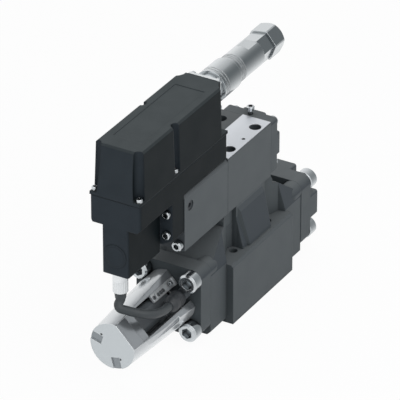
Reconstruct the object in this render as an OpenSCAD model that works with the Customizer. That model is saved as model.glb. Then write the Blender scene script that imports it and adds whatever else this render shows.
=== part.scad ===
// Pilot operated proportional directional valve with on-board electronics.
// X runs along the spools, Z stands on the mounting face, and the origin is the centre of that face.
// The position sensor is at the -X end and the cable plug points to +X.

/* [Main casting] */
// Length of the casting along the main spool
body_l = 145; // [140:1:156]
// Width of the casting across its side faces
body_w = 57.2; // [56:0.2:60]
// Height of the pilot interface above the mounting face
pilot_z = 90; // [88:1:96]
// Length of the mounting pad
pad_l = 96; // [92:1:104]
// Width of the mounting pad
pad_w = 70; // [68:1:74]
// Height of the mounting pad
pad_h = 53; // [51:0.5:54]
// Height of the main spool axis above the mounting face
spool_z = 36; // [34:0.5:38]
// Length of the top of the tower that carries the pilot valve
tower_l = 72; // [70:1:76]
// Height of the shoulder where the top starts to slope down
shoulder_z = 80; // [78:0.5:82]
// Height of the sloping top at the ends of the casting
slope_end_z = 58; // [56:0.5:60]

/* [Mounting face] */
// Distance between the mounting holes along the spool
bolt_dx = 54; // [52:0.5:56]
// Distance between the mounting holes across the spool
bolt_dy = 46; // [45:0.5:47]
// Diameter of the mounting holes
bolt_hole_d = 6.6; // [6.2:0.1:7]
// Diameter of the main ports
port_d = 11.2; // [10:0.1:11.6]
// Depth of the drilled mouth of each main port
port_depth = 18; // [14:0.5:19]
// Diameter of the pilot supply and drain ports
pilot_port_d = 6.3; // [5:0.1:7]
// Diameter of the seal recess round each main port
seal_recess_d = 15.6; // [15:0.1:16]
// Depth of the seal recesses
seal_recess_h = 1.4; // [1.2:0.1:1.8]

/* [Main spool] */
// Diameter of the main spool lands
spool_d = 20; // [18:0.5:21]
// Diameter of the main spool between its lands
stem_d = 11; // [9:0.5:13]
// Length of the main spool
spool_l = 120; // [116:1:124]
// Travel of the main spool each way
main_stroke = 4; // [2:0.5:4.5]
// Diameter of the spring chambers
chamber_d = 28; // [27:0.5:30]
// Diameter of the wire of the centring springs
spring_wire_d = 2.2; // [1.6:0.1:2.6]

/* [End caps] */
// Thickness of the end caps
cap_t = 15.5; // [14:0.5:18]
// Width of the end caps
cap_w = 58; // [57:0.5:61]
// Height of the end caps
cap_h = 60; // [59:0.5:61]
// Radius of the corners of the end caps
cap_r = 8; // [6:0.5:9]
// Distance of the cap screws from the spool axis, in Y and in Z
cap_screw_off = 22; // [21.5:0.1:22.5]
// How far the cross stands out of the rear end cap
cross_h = 11.5; // [10.5:0.5:13]
// Width of the upright arm of the cross
cross_arm_w = 19; // [16:0.5:22]
// Width of the level arm of the cross
cross_level_w = 22; // [18:0.5:24]

/* [Position sensor] */
// Length of the sensor housing
housing_l = 85; // [80:1:92]
// Diameter of the sensor housing at its far end
housing_end_d = 39; // [38:0.5:41]
// Diameter of the sensor housing at the end cap
housing_foot_d = 48; // [46:0.5:50]
// Distance of the flat of the window from the spool axis
window_off = 15.8; // [15:0.1:16.5]
// Angle of the window from straight up, towards the front side
window_tilt = 46; // [40:1:50]
// Width of the pocket behind the window
pocket_w = 24; // [22:0.5:25]
// Length of the solid end of the sensor housing
housing_solid_l = 25; // [22:0.5:28]
// Outer diameter of the pressure tube
tube_d = 11; // [10:0.5:12]
// Diameter of the sensor coil
coil_d = 19; // [17:0.5:20]
// Length of the sensor coil
coil_l = 46; // [40:1:50]

/* [Sensor cable] */
// Diameter of the sensor cable
cable_d = 7.1; // [6:0.1:7.4]
// Diameter of the moulded plug at the window
sensor_plug_d = 13; // [11:0.5:13.4]
// Diameter of the nut of the plug under the box
box_nut_d = 12; // [11:0.5:14]

/* [Pilot valve] */
// Length of the pilot valve body
pilot_l = 68.3; // [66:0.1:72]
// Width of the pilot valve body and of its actuator
pilot_w = 44.8; // [44:0.2:48]
// Height of the pilot valve body and of its actuator
pilot_h = 48; // [46:0.5:50]
// Distance between the pilot mounting screws along the spool
pilot_bolt_dx = 40.5; // [40:0.1:41]
// Distance between the pilot mounting screws across the spool
pilot_bolt_dy = 31; // [30.6:0.1:31.4]
// Diameter of the pilot spool
pilot_spool_d = 10; // [8:0.5:11]
// Outer diameter of the sleeve round the pilot spool
pilot_sleeve_d = 17; // [15:0.5:18]
// Travel of the pilot spool each way
pilot_stroke = 1; // [0.5:0.1:1.5]
// Thickness of the corners of the pilot rear cover
cover_t = 10; // [9:0.5:12]
// How far the cross of the pilot rear cover stands out
pilot_cross_h = 4; // [3:0.5:6]
// Thickness of the bare plate on top of the pilot valve
plate_t = 0.8; // [0.5:0.1:1.5]

/* [Actuator] */
// Length of the actuator housing
actuator_l = 66.7; // [64:0.1:72]
// Bevel along the top edges of the actuator housing
actuator_bevel = 2; // [1:0.5:3]
// Inner diameter of the actuator housing
actuator_bore_d = 36; // [34:0.5:36.5]
// Outer diameter of the moving coil
moving_coil_d = 25; // [23:0.5:26]

/* [Electronics box] */
// Length of the electronics box
box_l = 133; // [130:0.5:136]
// Width of the electronics box
box_w = 44; // [43:0.5:46]
// Width of the box at its top
box_top_w = 41.4; // [40:0.2:43]
// Height of the top of the box above the mounting face
box_top_z = 204.5; // [202:0.5:210]
// Height of the joint between the base and the cover
box_joint_z = 161; // [158:0.5:166]
// Wall of the box
box_wall = 3; // [2.5:0.1:3.5]
// How far the front of the cover leans back at its top
box_lean = 4.5; // [2:0.5:6]
// Thickness of the flange that holds the box to the actuator
flange_t = 17.5; // [16:0.5:20]
// Width of the narrow leg
leg_w = 23; // [22:0.5:26]
// Height of the bottom of the narrow leg
leg_z = 96.3; // [95:0.1:98]
// Diameter of the upright flutes in the sides of the cover
flute_d = 8; // [7:0.5:9]
// Diameter of the upright flutes in the front corners of the cover
corner_flute_d = 9; // [8:0.5:10]
// Bevel along the top edges of the cover
top_edge = 1.5; // [1:0.1:2]

/* [Cable plug] */
// Height of the axis of the cable plug
plug_z = 190.7; // [188:0.1:192]
// Side of the square flange of the receptacle
flange_w = 28.5; // [28:0.5:30]
// Diameter of the coupling ring
ring_d = 27.4; // [27:0.2:29]
// Length of the coupling ring
ring_l = 24.6; // [22:0.2:26]
// Diameter of the plug shell
shell_d = 24.5; // [24:0.1:26]
// Length of the plug shell behind the coupling ring
shell_l = 39; // [34:0.5:42]
// Width across the flats of the gland body
gland_af = 21; // [20:0.5:22]
// Length of the hexagon of the gland body
gland_l = 15.7; // [14:0.1:18]
// Diameter of the gland nut
gland_nut_d = 27; // [25:0.5:28]
// Length of the gland nut
gland_nut_l = 18.5; // [15:0.5:20]
// Turn of the hexagons of the gland about the plug's axis
hex_turn = 21; // [0:1:30]
// Diameter of the way in for the cable
cable_way_d = 9; // [7:0.5:10]

/* [Hidden] */

$fn = 64;
// Radial clearance of a screw, bush or pressed part in its hole
fit = 0.1;
// Radial clearance of a spool in its bore
run = 0.02;
// Small overshoot that lets a cut pass clean through a face
cut = 0.5;

painted = [0.34, 0.36, 0.37];
black = [0.17, 0.19, 0.21];
cast_bright = [0.78, 0.8, 0.81];
steel = [0.74, 0.75, 0.77];
dark_steel = [0.4, 0.42, 0.44];
rubber = [0.1, 0.1, 0.11];
copper = [0.72, 0.45, 0.28];
board_green = [0.13, 0.33, 0.2];

// Socket head screws: [shank diameter, head diameter, head height, width across the flats]
m10 = [10, 16, 10, 8];
m5 = [5, 8.5, 5, 4];
m4 = [4, 7, 4, 3];
m3 = [3, 5.5, 3, 2.5];
m2 = [2, 3.8, 2, 1.5];
// The cover screws have small heads
m3_small = [3, 5, 3, 2.5];

end_x = body_l / 2;
cap_x = end_x + cap_t;
bottom_relief = 1;
shelf_x = tower_l / 2 + 3;
slope_x = shelf_x + 4.3;
tower_bevel = 6;
core_w = 44.8;
side_bevel_z = slope_end_z - 4;
pocket_wall_y = 18.6;
// Half length of the bulge between two pockets, and how far its foot stands out of the side
bulge_x = 21.5;
bulge_out = 2;
pad_bevel = 2;
chamber_deep = main_stroke + 13.5;
cap_chamber = cap_t - 6;
cap_grip = 10;
spool_end = spool_l / 2;
seat_t = 2;
seat_nose = 5;
seat_d = chamber_d - 3;
annulus_d = 29;
supply_annulus_d = 34;
// Places along the spool and widths of the annuli of T, A, P, B and T1
annuli = [[-26, 8, annulus_d], [-13, 8, annulus_d], [0, 8, supply_annulus_d],
    [13, 8, annulus_d], [26, 8, annulus_d]];
land_lap = 0.5;
// Places of the main ports P, A, B, T and T1 on the mounting face
ports = [[0, -16.7], [-10.3, -1.6], [10.3, -1.6], [-23.8, 9.5], [23.8, 9.5]];
// Places of the pilot supply port X and the pilot drain port Y
pilot_ports = [[-35, -12], [35, -12]];
// Places of the four channels between the pilot valve and the main stage
pilot_channels = [[1.25, 10.4], [-7.55, 0], [9.95, 0], [1.25, -10.4]];
channel_d = 5;
channel_z = 62;

// The pilot valve sits a little towards the sensor on its four screws
pilot_x0 = -pilot_l / 2 - 0.65;
pilot_x1 = pilot_x0 + pilot_l;
pilot_mid = pilot_z + pilot_h / 2;
pilot_top = pilot_z + pilot_h;
actuator_x0 = pilot_x0 - actuator_l;
pilot_seat_z = pilot_z + 22;
pilot_counterbore_d = 9.8;
pilot_spool_x1 = pilot_x1 - 8;
pilot_land_l = 8;
pilot_lands = [pilot_x0 + 9.8, -6.5, 6.5, pilot_spool_x1 - pilot_land_l / 2];
// The cover screws stop short of the counterbores of the mounting screws
cover_screw_grip = pilot_x1 - pilot_bolt_dx / 2 - pilot_counterbore_d / 2 - 0.85;
joint_groove = 0.35;
// Distances in Y and Z of the cover screws from the pilot axis
cover_screw_y = 16.5;
cover_screw_z = 18;
vent_x = pilot_x1 + cover_t / 2;
vent_y = -1;
// Places in Y and Z of the lower and of the sunk pair of actuator screws
actuator_low = [17.6, pilot_z + 5];
actuator_high = [9.5, pilot_top - 5.1];
sunk = 5.5;
actuator_wall = 8;
magnet_x1 = actuator_x0 + 48;
pole_x = actuator_x0 + 18;
winding_x0 = pole_x + 5 + pilot_stroke;
winding_x1 = winding_x0 + 20;
bobbin_wall = 1.2;
pilot_rod_x = pilot_x0 - 14;
pilot_sensor_d = 14;
side_plug_d = 8.5;
side_plug_l = 3.2;

box_x1 = pilot_x0 + 0.3;
box_x0 = box_x1 - box_l;
flange_x0 = actuator_x0 - flange_t;
leg_l = flange_x0 - box_x0;
// Heights of the foot of the flange in its middle and at its sides, and the width of the slope between
flange_low_z = pilot_z + 13;
flange_side_z = pilot_z + 18;
flange_corner = 9;
box_floor_z = pilot_top + box_wall;
board_z = 150;
board_w = 29;
board_t = 1.6;
board_front = 8;
board_rear = 20;
chip_w = 12;
chip_h = 2.4;
chip_pitch = 19;
capacitor_d = 8;
capacitor_h = 11;
capacitor_y = 10;
capacitor_pitch = 28;
// X range and half width of the shallow label recess on the cover
label_x = [box_x0 + 20.5, box_x1 - 20];
label_half = 13;
leg_cap_z = pilot_mid - 1;
leg_spigot_d = 16;
flange_screw_y = 17.5;
flute_foot = 2.5;
gasket_t = 0.4;
cover_z = box_joint_z + gasket_t;
// Places of the cover screws in X and Y
cover_screw_in = m3_small[1] / 2 + fit;
cover_screw_at = [[box_x0 + 3.8, -box_w / 2 + cover_screw_in],
    [box_x0 + 3.8, box_w / 2 - cover_screw_in],
    [box_x0 + 56.5, -box_w / 2 + cover_screw_in], [box_x0 + 74.5, box_w / 2 - cover_screw_in]];
// Centres of the upright flutes that let a key down to the cover screws
corner_flutes = [for (p = [cover_screw_at[0], cover_screw_at[1]]) [p.x + 0.4, p.y - sign(p.y) * 0.6]];
side_flutes = [for (p = [cover_screw_at[2], cover_screw_at[3]]) [p.x, p.y + sign(p.y) * 1]];
rear_flute_d = 18.4;
rear_flutes = [[box_x1 - 0.5, -24.5], [box_x1 - 0.5, 24.5]];

housing_x0 = -cap_x - housing_l;
pocket_floor = -coil_d / 2 - 0.3;
// The wall across the foot of the pocket, which the foot screws hold to the cap
foot_wall = 4;
foot_top = 7.6;
// Two notches in the end face of the housing: width, distance from the axis and depth
notch_w = 7.5;
notch_r = 9.5;
notch_deep = 1.2;
// Places of two small blind holes in the end face, in Y and in Z from the spool axis
end_dots = [[9.7, 7.9], [-7.1, -9.7]];
tube_flange_d = 14;
tube_flange_t = 3;
coil_x1 = -cap_x - foot_wall - 4.5;
coil_x0 = coil_x1 - coil_l;
tube_end = coil_x0 - 3;

receptacle_flange_t = 2.5;
ring_x0 = box_x1 + 11.5;
ring_x1 = ring_x0 + ring_l;
shell_x1 = ring_x1 + shell_l;
gland_x1 = shell_x1 + gland_l;
nut_x1 = gland_x1 + gland_nut_l;
thread_d = ring_d - 4.6;
insert_d = thread_d - 3.4;
plug_bore_d = insert_d - 1.2;
insert_x0 = box_x1 + receptacle_flange_t + 1.8;
insert_x1 = ring_x0 + 11;
receptacle_spigot_d = 22;
receptacle_screw_off = 11.2;
pin_circle_r = 6;
pin_d = 2;
gland_thread_d = gland_af - 2;
gland_seat_d = gland_af - 5;

box_socket_x = box_x0 + 7.5;
box_socket_z = 79;
// Ends of the axis of the moulded plug in the window
sensor_plug_a = [-119, -18, 48.5];
sensor_plug_b = [-98.5, -15, 45];
box_plug_d = 8;
box_socket_d = 9;
box_plug_l = 11;
core_rod_d = 4;
socket_spigot_d = 6;
// Places of the foot screws and of the bracket screw as seen through the window
foot_screw_off = [8, 4.5];
bracket_screw_at = [8.2, 13.2];
bracket_t = 3;
// Route of the sensor cable, from the plug under the box to the plug in the window
cable_points = [[-160, 0, 73], [-160, 0, 72], [-160, 0, 71], [-162.5, 0.5, 68], [-163.5, -1.5, 65.5],
    [-160, -5, 63], [-155.5, -9, 60], [-149.5, -15, 57], [-142, -18.5, 54], [-133, -19.5, 51.5],
    [-127.2, -19.2, 49.9], [-123.1, -18.6, 49.2], [-119, -18, 48.5]];

// Everything that lies along X starts as a 2D shape in Y and Z
module along_x(x0, x1) {
    translate([x0, 0, 0]) rotate([90, 0, 90]) linear_extrude(x1 - x0) children();
}

// A 2D shape in X and Z, drawn out across the valve
module along_y(y0, y1) {
    translate([0, y1, 0]) rotate([90, 0, 0]) linear_extrude(y1 - y0) children();
}

module rod_x(d, x0, x1) {
    translate([x0, 0, 0]) rotate([0, 90, 0]) cylinder(d = d, h = x1 - x0);
}

module tube_x(d_out, d_in, x0, x1) {
    difference() {
        rod_x(d_out, x0, x1);
        rod_x(d_in, x0 - cut, x1 + cut);
    }
}

module round_rect(w, h, r) {
    square([w - 2 * r, h], center = true);
    square([w, h - 2 * r], center = true);
    for (y = [-1, 1], z = [-1, 1]) translate([y * (w / 2 - r), z * (h / 2 - r)]) circle(r);
}

// A socket head screw that points down, with the underside of its head at the origin
module screw(size, l) {
    difference() {
        union() {
            translate([0, 0, -l]) cylinder(d = size[0], h = l + cut);
            cylinder(d = size[1], h = size[2]);
        }
        translate([0, 0, size[2] / 2]) cylinder(d = size[3] / cos(30), h = size[2], $fn = 6);
    }
}

module faces_front() { rotate([0, -90, 0]) children(); }
module faces_rear() { rotate([0, 90, 0]) children(); }

// Puts a copy at each corner of a rectangle across the X axis, about the height z
module at_corners_x(y, z_off, z) {
    for (sy = [-1, 1], sz = [-1, 1]) translate([0, sy * y, z + sz * z_off]) children();
}

module at_corners_z(x, y) {
    for (sx = [-1, 1], sy = [-1, 1]) translate([sx * x, sy * y, 0]) children();
}

module between(a, b) {
    d = b - a;
    translate(a) rotate([0, acos(d.z / norm(d)), atan2(d.y, d.x)]) children();
}

module seal_ring(d, wire) {
    rotate_extrude() translate([d / 2, 0]) circle(d = wire, $fn = 24);
}

// A tube swept along a list of points, with rings square to the path
function unit(v) = v / norm(v);
function way(p, i) = unit(p[min(i + 1, len(p) - 1)] - p[max(i - 1, 0)]);
function ring_at(p, i, r, sides, ref) =
    let (t = way(p, i), a = unit(cross(t, ref)), b = cross(t, a))
    [for (k = [0:sides - 1]) p[i] + r * (cos(360 * k / sides) * a + sin(360 * k / sides) * b)];

module sweep(p, d, sides, ref) {
    n = len(p);
    points = [for (i = [0:n - 1]) each ring_at(p, i, d / 2, sides, ref)];
    walls = [for (i = [0:n - 2], k = [0:sides - 1])
        let (a = i * sides + k, b = i * sides + (k + 1) % sides) each [[a, b, a + sides], [b, b + sides, a + sides]]];
    ends = [[for (k = [0:sides - 1]) sides - 1 - k], [for (k = [0:sides - 1]) (n - 1) * sides + k]];
    polyhedron(points, concat(walls, ends));
}

// A smooth curve through the chosen points of a route
function curve(p, i, s) =
    let (a = p[max(i - 1, 0)], b = p[i], c = p[i + 1], d = p[min(i + 2, len(p) - 1)])
    0.5 * (2 * b + (c - a) * s + (2 * a - 5 * b + 4 * c - d) * s * s + (3 * b - a - 3 * c + d) * s * s * s);
function smooth(p, steps) = concat([for (i = [0:len(p) - 2], k = [0:steps - 1]) curve(p, i, k / steps)],
    [p[len(p) - 1]]);

function helix(x0, x1, r, turns, per_turn) = [for (i = [0:turns * per_turn])
    [x0 + (x1 - x0) * i / (turns * per_turn), r * cos(360 * i / per_turn), r * sin(360 * i / per_turn)]];

module coil_spring(x0, x1, r, wire, turns) {
    sweep(helix(x0 + wire / 2 + 0.05, x1 - wire / 2 - 0.05, r, turns, 14), wire, 6, [1, 0, 0]);
}

// Main stage

module top_outline() {
    polygon([[-end_x, bottom_relief], [-end_x, slope_end_z], [-slope_x, shoulder_z], [-shelf_x, shoulder_z],
        [-shelf_x, pilot_z - tower_bevel], [-tower_l / 2, pilot_z], [tower_l / 2, pilot_z],
        [shelf_x, pilot_z - tower_bevel], [shelf_x, shoulder_z], [slope_x, shoulder_z],
        [end_x, slope_end_z], [end_x, bottom_relief]]);
}

module pad() {
    intersection() {
        translate([-pad_l / 2, -pad_w / 2, 0]) cube([pad_l, pad_w, pad_h]);
        along_x(-pad_l / 2, pad_l / 2) polygon([[-pad_w / 2, 0], [-pad_w / 2, pad_h - pad_bevel],
            [-pad_w / 2 + pad_bevel, pad_h], [pad_w / 2 - pad_bevel, pad_h], [pad_w / 2, pad_h - pad_bevel],
            [pad_w / 2, 0]]);
    }
}

// The sides stand upright to the slope's foot and lean in above it
module side_outline() {
    edge = 3;
    polygon([[-body_w / 2 + edge, bottom_relief], [-body_w / 2, bottom_relief + edge],
        [-body_w / 2, side_bevel_z], [-core_w / 2, shoulder_z], [-core_w / 2, pilot_z],
        [core_w / 2, pilot_z], [core_w / 2, shoulder_z], [body_w / 2, side_bevel_z],
        [body_w / 2, bottom_relief + edge], [body_w / 2 - edge, bottom_relief]]);
}

// Round lobes stand over the slope at the upper corners and back the caps' upper screws
module screw_lobes() {
    lobe_l = 8;
    for (s = [-1, 1], y = [-1, 1])
        translate([s * end_x, y * (cap_w / 2 - cap_r), spool_z + cap_h / 2 - cap_r]) {
            rotate([0, -s * 90, 0]) cylinder(r = cap_r, h = lobe_l);
            translate([-s * lobe_l, 0, 0]) sphere(cap_r);
        }
}

module casting_block() {
    intersection() {
        along_y(-body_w / 2, body_w / 2) top_outline();
        along_x(-end_x, end_x) side_outline();
    }
    screw_lobes();
}

// The four pockets over the mounting holes, open to the sides
module screw_pocket() {
    top = pilot_z + cut;
    foot = 31;
    side_y = body_w / 2 + cut;
    translate([0, 0, pad_h]) linear_extrude(top - pad_h)
        polygon([[bulge_x, pocket_wall_y], [foot, pocket_wall_y], [foot + 14, core_w / 2 + 0.5],
            [foot + 16, side_y], [bulge_x, side_y]]);
    translate([bolt_dx / 2, bolt_dy / 2, pad_h]) cylinder(d = 11.4, h = 22);
}

// The bulge between two pockets leans back and is cut away at one lower corner
module bulge() {
    far = body_w / 2 + bulge_out;
    lip_y = core_w / 2 + 2.1;
    right = bulge_x - 1.5;
    low = pad_h - 1;
    intersection() {
        along_x(-bulge_x, bulge_x) polygon([[0, low], [-far, low], [-far, pad_h + 1],
            [-lip_y, shoulder_z + 4], [-core_w / 2, shoulder_z + 8], [0, pilot_z - 1]]);
        along_y(-far, 0) polygon([[-bulge_x, pilot_z], [-bulge_x, pad_h + 8.5], [-bulge_x + 8.5, low],
            [right, low], [right, pilot_z]]);
        translate([0, 0, low]) linear_extrude(pilot_z - pad_h) polygon([[-bulge_x, 0],
            [-bulge_x, -pocket_wall_y - 1], [-bulge_x + 8, -far], [right, -far], [right, 0]]);
    }
}

module port_holes() {
    for (p = ports) translate([p.x, p.y, 0]) {
        translate([0, 0, -cut]) cylinder(d = port_d, h = port_depth + cut);
        translate([0, 0, port_depth - cut]) cylinder(d = port_d - 1.4, h = spool_z - port_depth + cut);
        translate([0, 0, -cut]) cylinder(d = seal_recess_d, h = seal_recess_h + cut);
    }
    for (p = pilot_ports) translate([p.x, p.y, 0]) {
        translate([0, 0, -cut]) cylinder(d = pilot_port_d, h = port_depth + cut);
        translate([0, 0, -cut]) cylinder(d = pilot_port_d + 5.4, h = seal_recess_h + cut);
    }
}

module control_channels() {
    for (p = pilot_channels) translate([p.x, p.y, channel_z]) cylinder(d = channel_d, h = pilot_z - channel_z + cut);
    for (s = [-1, 1]) {
        start = s < 0 ? pilot_channels[1].x : pilot_channels[2].x;
        drop_x = s * (end_x - chamber_deep + channel_d);
        translate([0, 0, channel_z]) rod_x(channel_d, min(start, drop_x), max(start, drop_x));
        translate([drop_x, 0, spool_z]) cylinder(d = channel_d, h = channel_z - spool_z);
    }
}

module main_body() {
    color(painted) difference() {
        union() {
            pad();
            difference() {
                casting_block();
                for (a = [0, 1], b = [0, 1]) mirror([a, 0, 0]) mirror([0, b, 0]) screw_pocket();
            }
            bulge();
            rotate([0, 0, 180]) bulge();
        }
        translate([0, 0, spool_z]) {
            rod_x(spool_d + 2 * run, -end_x - cut, end_x + cut);
            rod_x(chamber_d, -end_x - cut, -end_x + chamber_deep);
            rod_x(chamber_d, end_x - chamber_deep, end_x + cut);
            for (a = annuli) rod_x(a[2], a[0] - a[1] / 2, a[0] + a[1] / 2);
        }
        port_holes();
        control_channels();
        at_corners_z(bolt_dx / 2, bolt_dy / 2) translate([0, 0, -cut]) cylinder(d = bolt_hole_d, h = pad_h + 2 * cut);
        at_corners_z(pilot_bolt_dx / 2, pilot_bolt_dy / 2)
            translate([0, 0, pilot_z - 13]) cylinder(d = m5[0] + 2 * fit, h = 13 + cut);
        for (s = [-1, 1]) at_corners_x(cap_screw_off, cap_screw_off, spool_z)
            rod_x(m10[0] + 2 * fit, s > 0 ? end_x - cap_grip - 2 : -end_x - cut,
                s > 0 ? end_x + cut : -end_x + cap_grip + 2);
    }
}

module cap_plate() {
    difference() {
        along_x(end_x, cap_x) translate([0, spool_z]) round_rect(cap_w, cap_h, cap_r);
        translate([0, 0, spool_z]) rod_x(chamber_d, end_x - cut, end_x + cap_chamber);
        translate([0, 0, spool_z]) tube_x(chamber_d + 8, chamber_d + 3.4, end_x - cut, end_x + 1.6);
        at_corners_x(cap_screw_off, cap_screw_off, spool_z) rod_x(m10[0] + 2 * fit, end_x - cut, cap_x + cut);
    }
}

module front_end_cap() {
    color(painted) difference() {
        mirror([1, 0, 0]) cap_plate();
        translate([0, 0, spool_z]) rod_x(tube_d + 2 * fit, -cap_x - cut, -end_x);
        translate([0, sensor_plug_b.y, sensor_plug_b.z]) rod_x(socket_spigot_d + 2 * fit, -cap_x - cut, -cap_x + 5);
        bracket_screw_places() rod_x(m2[0] + 2 * fit, -cap_x - cut, -cap_x + 4);
        foot_screw_places() rod_x(m3[0] + 2 * fit, -cap_x - cut, -cap_x + 5.2);
    }
}

// The rear cap carries a raised cross between its four screw seats
module rear_end_cap() {
    edge = 2;
    color(painted) {
        cap_plate();
        along_x(cap_x, cap_x + cross_h) translate([0, spool_z]) {
            round_rect(cross_arm_w, cap_h - 2, edge);
            round_rect(cap_w, cross_level_w, edge);
        }
    }
}

module front_cap_screws() {
    color(steel) translate([-cap_x, 0, 0])
        at_corners_x(cap_screw_off, cap_screw_off, spool_z) faces_front() screw(m10, cap_t + cap_grip);
}

module rear_cap_screws() {
    color(steel) translate([cap_x, 0, 0])
        at_corners_x(cap_screw_off, cap_screw_off, spool_z) faces_rear() screw(m10, cap_t + cap_grip);
}

// The middle lands close A and B at rest and the end lands keep the spring chambers apart
module main_spool() {
    land_w = annuli[1][1] + 2 * land_lap;
    end_land_x = annuli[4][0] + annuli[4][1] / 2 + 1;
    color(steel) translate([0, 0, spool_z]) difference() {
        union() {
            rod_x(stem_d, -spool_end, spool_end);
            for (x = [annuli[1][0], annuli[3][0]]) rod_x(spool_d, x - land_w / 2, x + land_w / 2);
            rod_x(spool_d, -spool_end, -end_land_x);
            rod_x(spool_d, end_land_x, spool_end);
        }
        for (s = [-1, 1], k = [0:2]) translate([s * (end_land_x + 4 + 5 * k), 0, 0])
            tube_x(spool_d + 1, spool_d - 1, -0.4, 0.4);
        for (s = [-1, 1]) translate([s * (spool_end - 4), 0, 0]) rod_x(core_rod_d + 2 * fit, -4 - cut, 4 + cut);
    }
}

module spring_seat() {
    rod_x(seat_d, spool_end, spool_end + seat_t);
    rod_x(spool_d - 6, spool_end, spool_end + seat_nose);
}

// The front seat is clamped by the collar of the core rod
module front_spring_seat() {
    color(dark_steel) translate([0, 0, spool_z]) mirror([1, 0, 0]) difference() {
        spring_seat();
        rod_x(core_rod_d + 2 * fit, spool_end - cut, spool_end + seat_nose + cut);
    }
}

// The rear seat is turned in one piece with the stud that holds it
module rear_spring_seat() {
    color(dark_steel) translate([0, 0, spool_z]) {
        spring_seat();
        rod_x(core_rod_d, spool_end - 7, spool_end + cut);
    }
}

module main_spring(x0, x1) {
    color(dark_steel) translate([0, 0, spool_z]) coil_spring(x0, x1, spool_d / 2, spring_wire_d, 4.5);
}

module front_spring() { main_spring(-end_x - cap_chamber, -spool_end - seat_t); }
module rear_spring() { main_spring(spool_end + seat_t, end_x + cap_chamber); }

module cap_seal() {
    translate([end_x + 0.85, 0, spool_z]) rotate([0, 90, 0]) seal_ring(chamber_d + 5.6, 1.5);
}

module front_cap_seal() { color(rubber) mirror([1, 0, 0]) cap_seal(); }
module rear_cap_seal() { color(rubber) cap_seal(); }

module port_seals() {
    wire = seal_recess_h - 0.1;
    color(rubber) {
        for (p = ports) translate([p.x, p.y, seal_recess_h / 2]) seal_ring(seal_recess_d - wire - 0.2, wire);
        for (p = pilot_ports) translate([p.x, p.y, seal_recess_h / 2])
            seal_ring(pilot_port_d + 5.4 - wire - 0.2, wire);
    }
}

// Position sensor

// Turns a piece so that its top looks out of the window
module in_window() {
    translate([0, 0, spool_z]) rotate([window_tilt, 0, 0]) children();
}

module foot_screw_places() {
    in_window() for (a = [-1, 1], b = [-1, 1]) translate([0, a * foot_screw_off.x, b * foot_screw_off.y])
        children();
}

module bracket_screw_places() {
    in_window() translate([0, bracket_screw_at.x, bracket_screw_at.y]) children();
}

module sensor_housing() {
    step_l = 13;
    color(cast_bright) difference() {
        in_window() difference() {
            translate([housing_x0, 0, 0]) rotate([0, 90, 0])
                cylinder(d1 = housing_end_d, d2 = housing_foot_d, h = housing_l, $fn = 96);
            translate([housing_x0 - cut, -housing_foot_d / 2, window_off])
                cube([housing_l + 2 * cut, housing_foot_d, housing_foot_d]);
            translate([housing_x0 + 2, -pocket_w / 2, window_off - 0.8]) cube([step_l, pocket_w, 5]);
            translate([housing_x0 + 2 + step_l, -pocket_w / 2, window_off - 2.4])
                cube([housing_l, pocket_w, 5]);
            difference() {
                translate([housing_x0 + housing_solid_l, -pocket_w / 2, pocket_floor])
                    cube([housing_l, pocket_w, window_off + housing_foot_d]);
                translate([-cap_x - foot_wall, -pocket_w / 2, pocket_floor])
                    cube([foot_wall, pocket_w, foot_top - pocket_floor]);
            }
            rod_x(tube_d + 2, housing_x0 + housing_solid_l - 2, -cap_x);
            rod_x(tube_flange_d + 2 * fit, -cap_x - tube_flange_t, -cap_x + cut);
            for (a = [-120, 120]) rotate([a, 0, 0]) translate([housing_x0 - cut, -notch_w / 2, notch_r])
                cube([notch_deep + cut, notch_w, housing_end_d]);
        }
        foot_screw_places() rod_x(m3[0] + 2 * fit, -cap_x - foot_wall - cut, -cap_x + cut);
        at_corners_x(cap_screw_off, cap_screw_off, spool_z) rod_x(m10[1] + 1.2, -cap_x - 14, -cap_x + cut);
        translate([housing_x0 + 19, -housing_foot_d / 2, spool_z - 4.5]) cube([44, 3.6, 4.5]);
        for (p = end_dots) translate([0, p.x, spool_z + p.y]) rod_x(2, housing_x0 - cut, housing_x0 + 3);
    }
}

module sensor_tube() {
    color(steel) translate([0, 0, spool_z]) {
        difference() {
            union() {
                rod_x(tube_d, tube_end, -end_x - cap_chamber);
                rod_x(tube_flange_d, -cap_x - tube_flange_t, -cap_x);
            }
            rod_x(tube_d - 3, tube_end + 3, -end_x - cap_chamber + cut);
        }
    }
}

// The coil body is round below and flat towards the window
module sensor_coil() {
    color(dark_steel) in_window() difference() {
        intersection() {
            rod_x(coil_d, coil_x0, coil_x1);
            translate([coil_x0 - 1, -coil_d / 2, -coil_d / 2]) cube([coil_l + 2, coil_d, coil_d - 1.5]);
        }
        rod_x(tube_d + 2 * fit, coil_x0 - cut, coil_x1 + cut);
    }
}

module sensor_core_rod() {
    core_l = 26;
    core_x = (coil_x0 + coil_x1) / 2;
    collar_x = -spool_end - seat_nose;
    color(steel) translate([0, 0, spool_z]) {
        rod_x(core_rod_d, core_x, -spool_end + 7);
        rod_x(7, collar_x - 2, collar_x);
        rod_x(tube_d - 4, core_x - core_l / 2, core_x + core_l / 2);
    }
}

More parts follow.
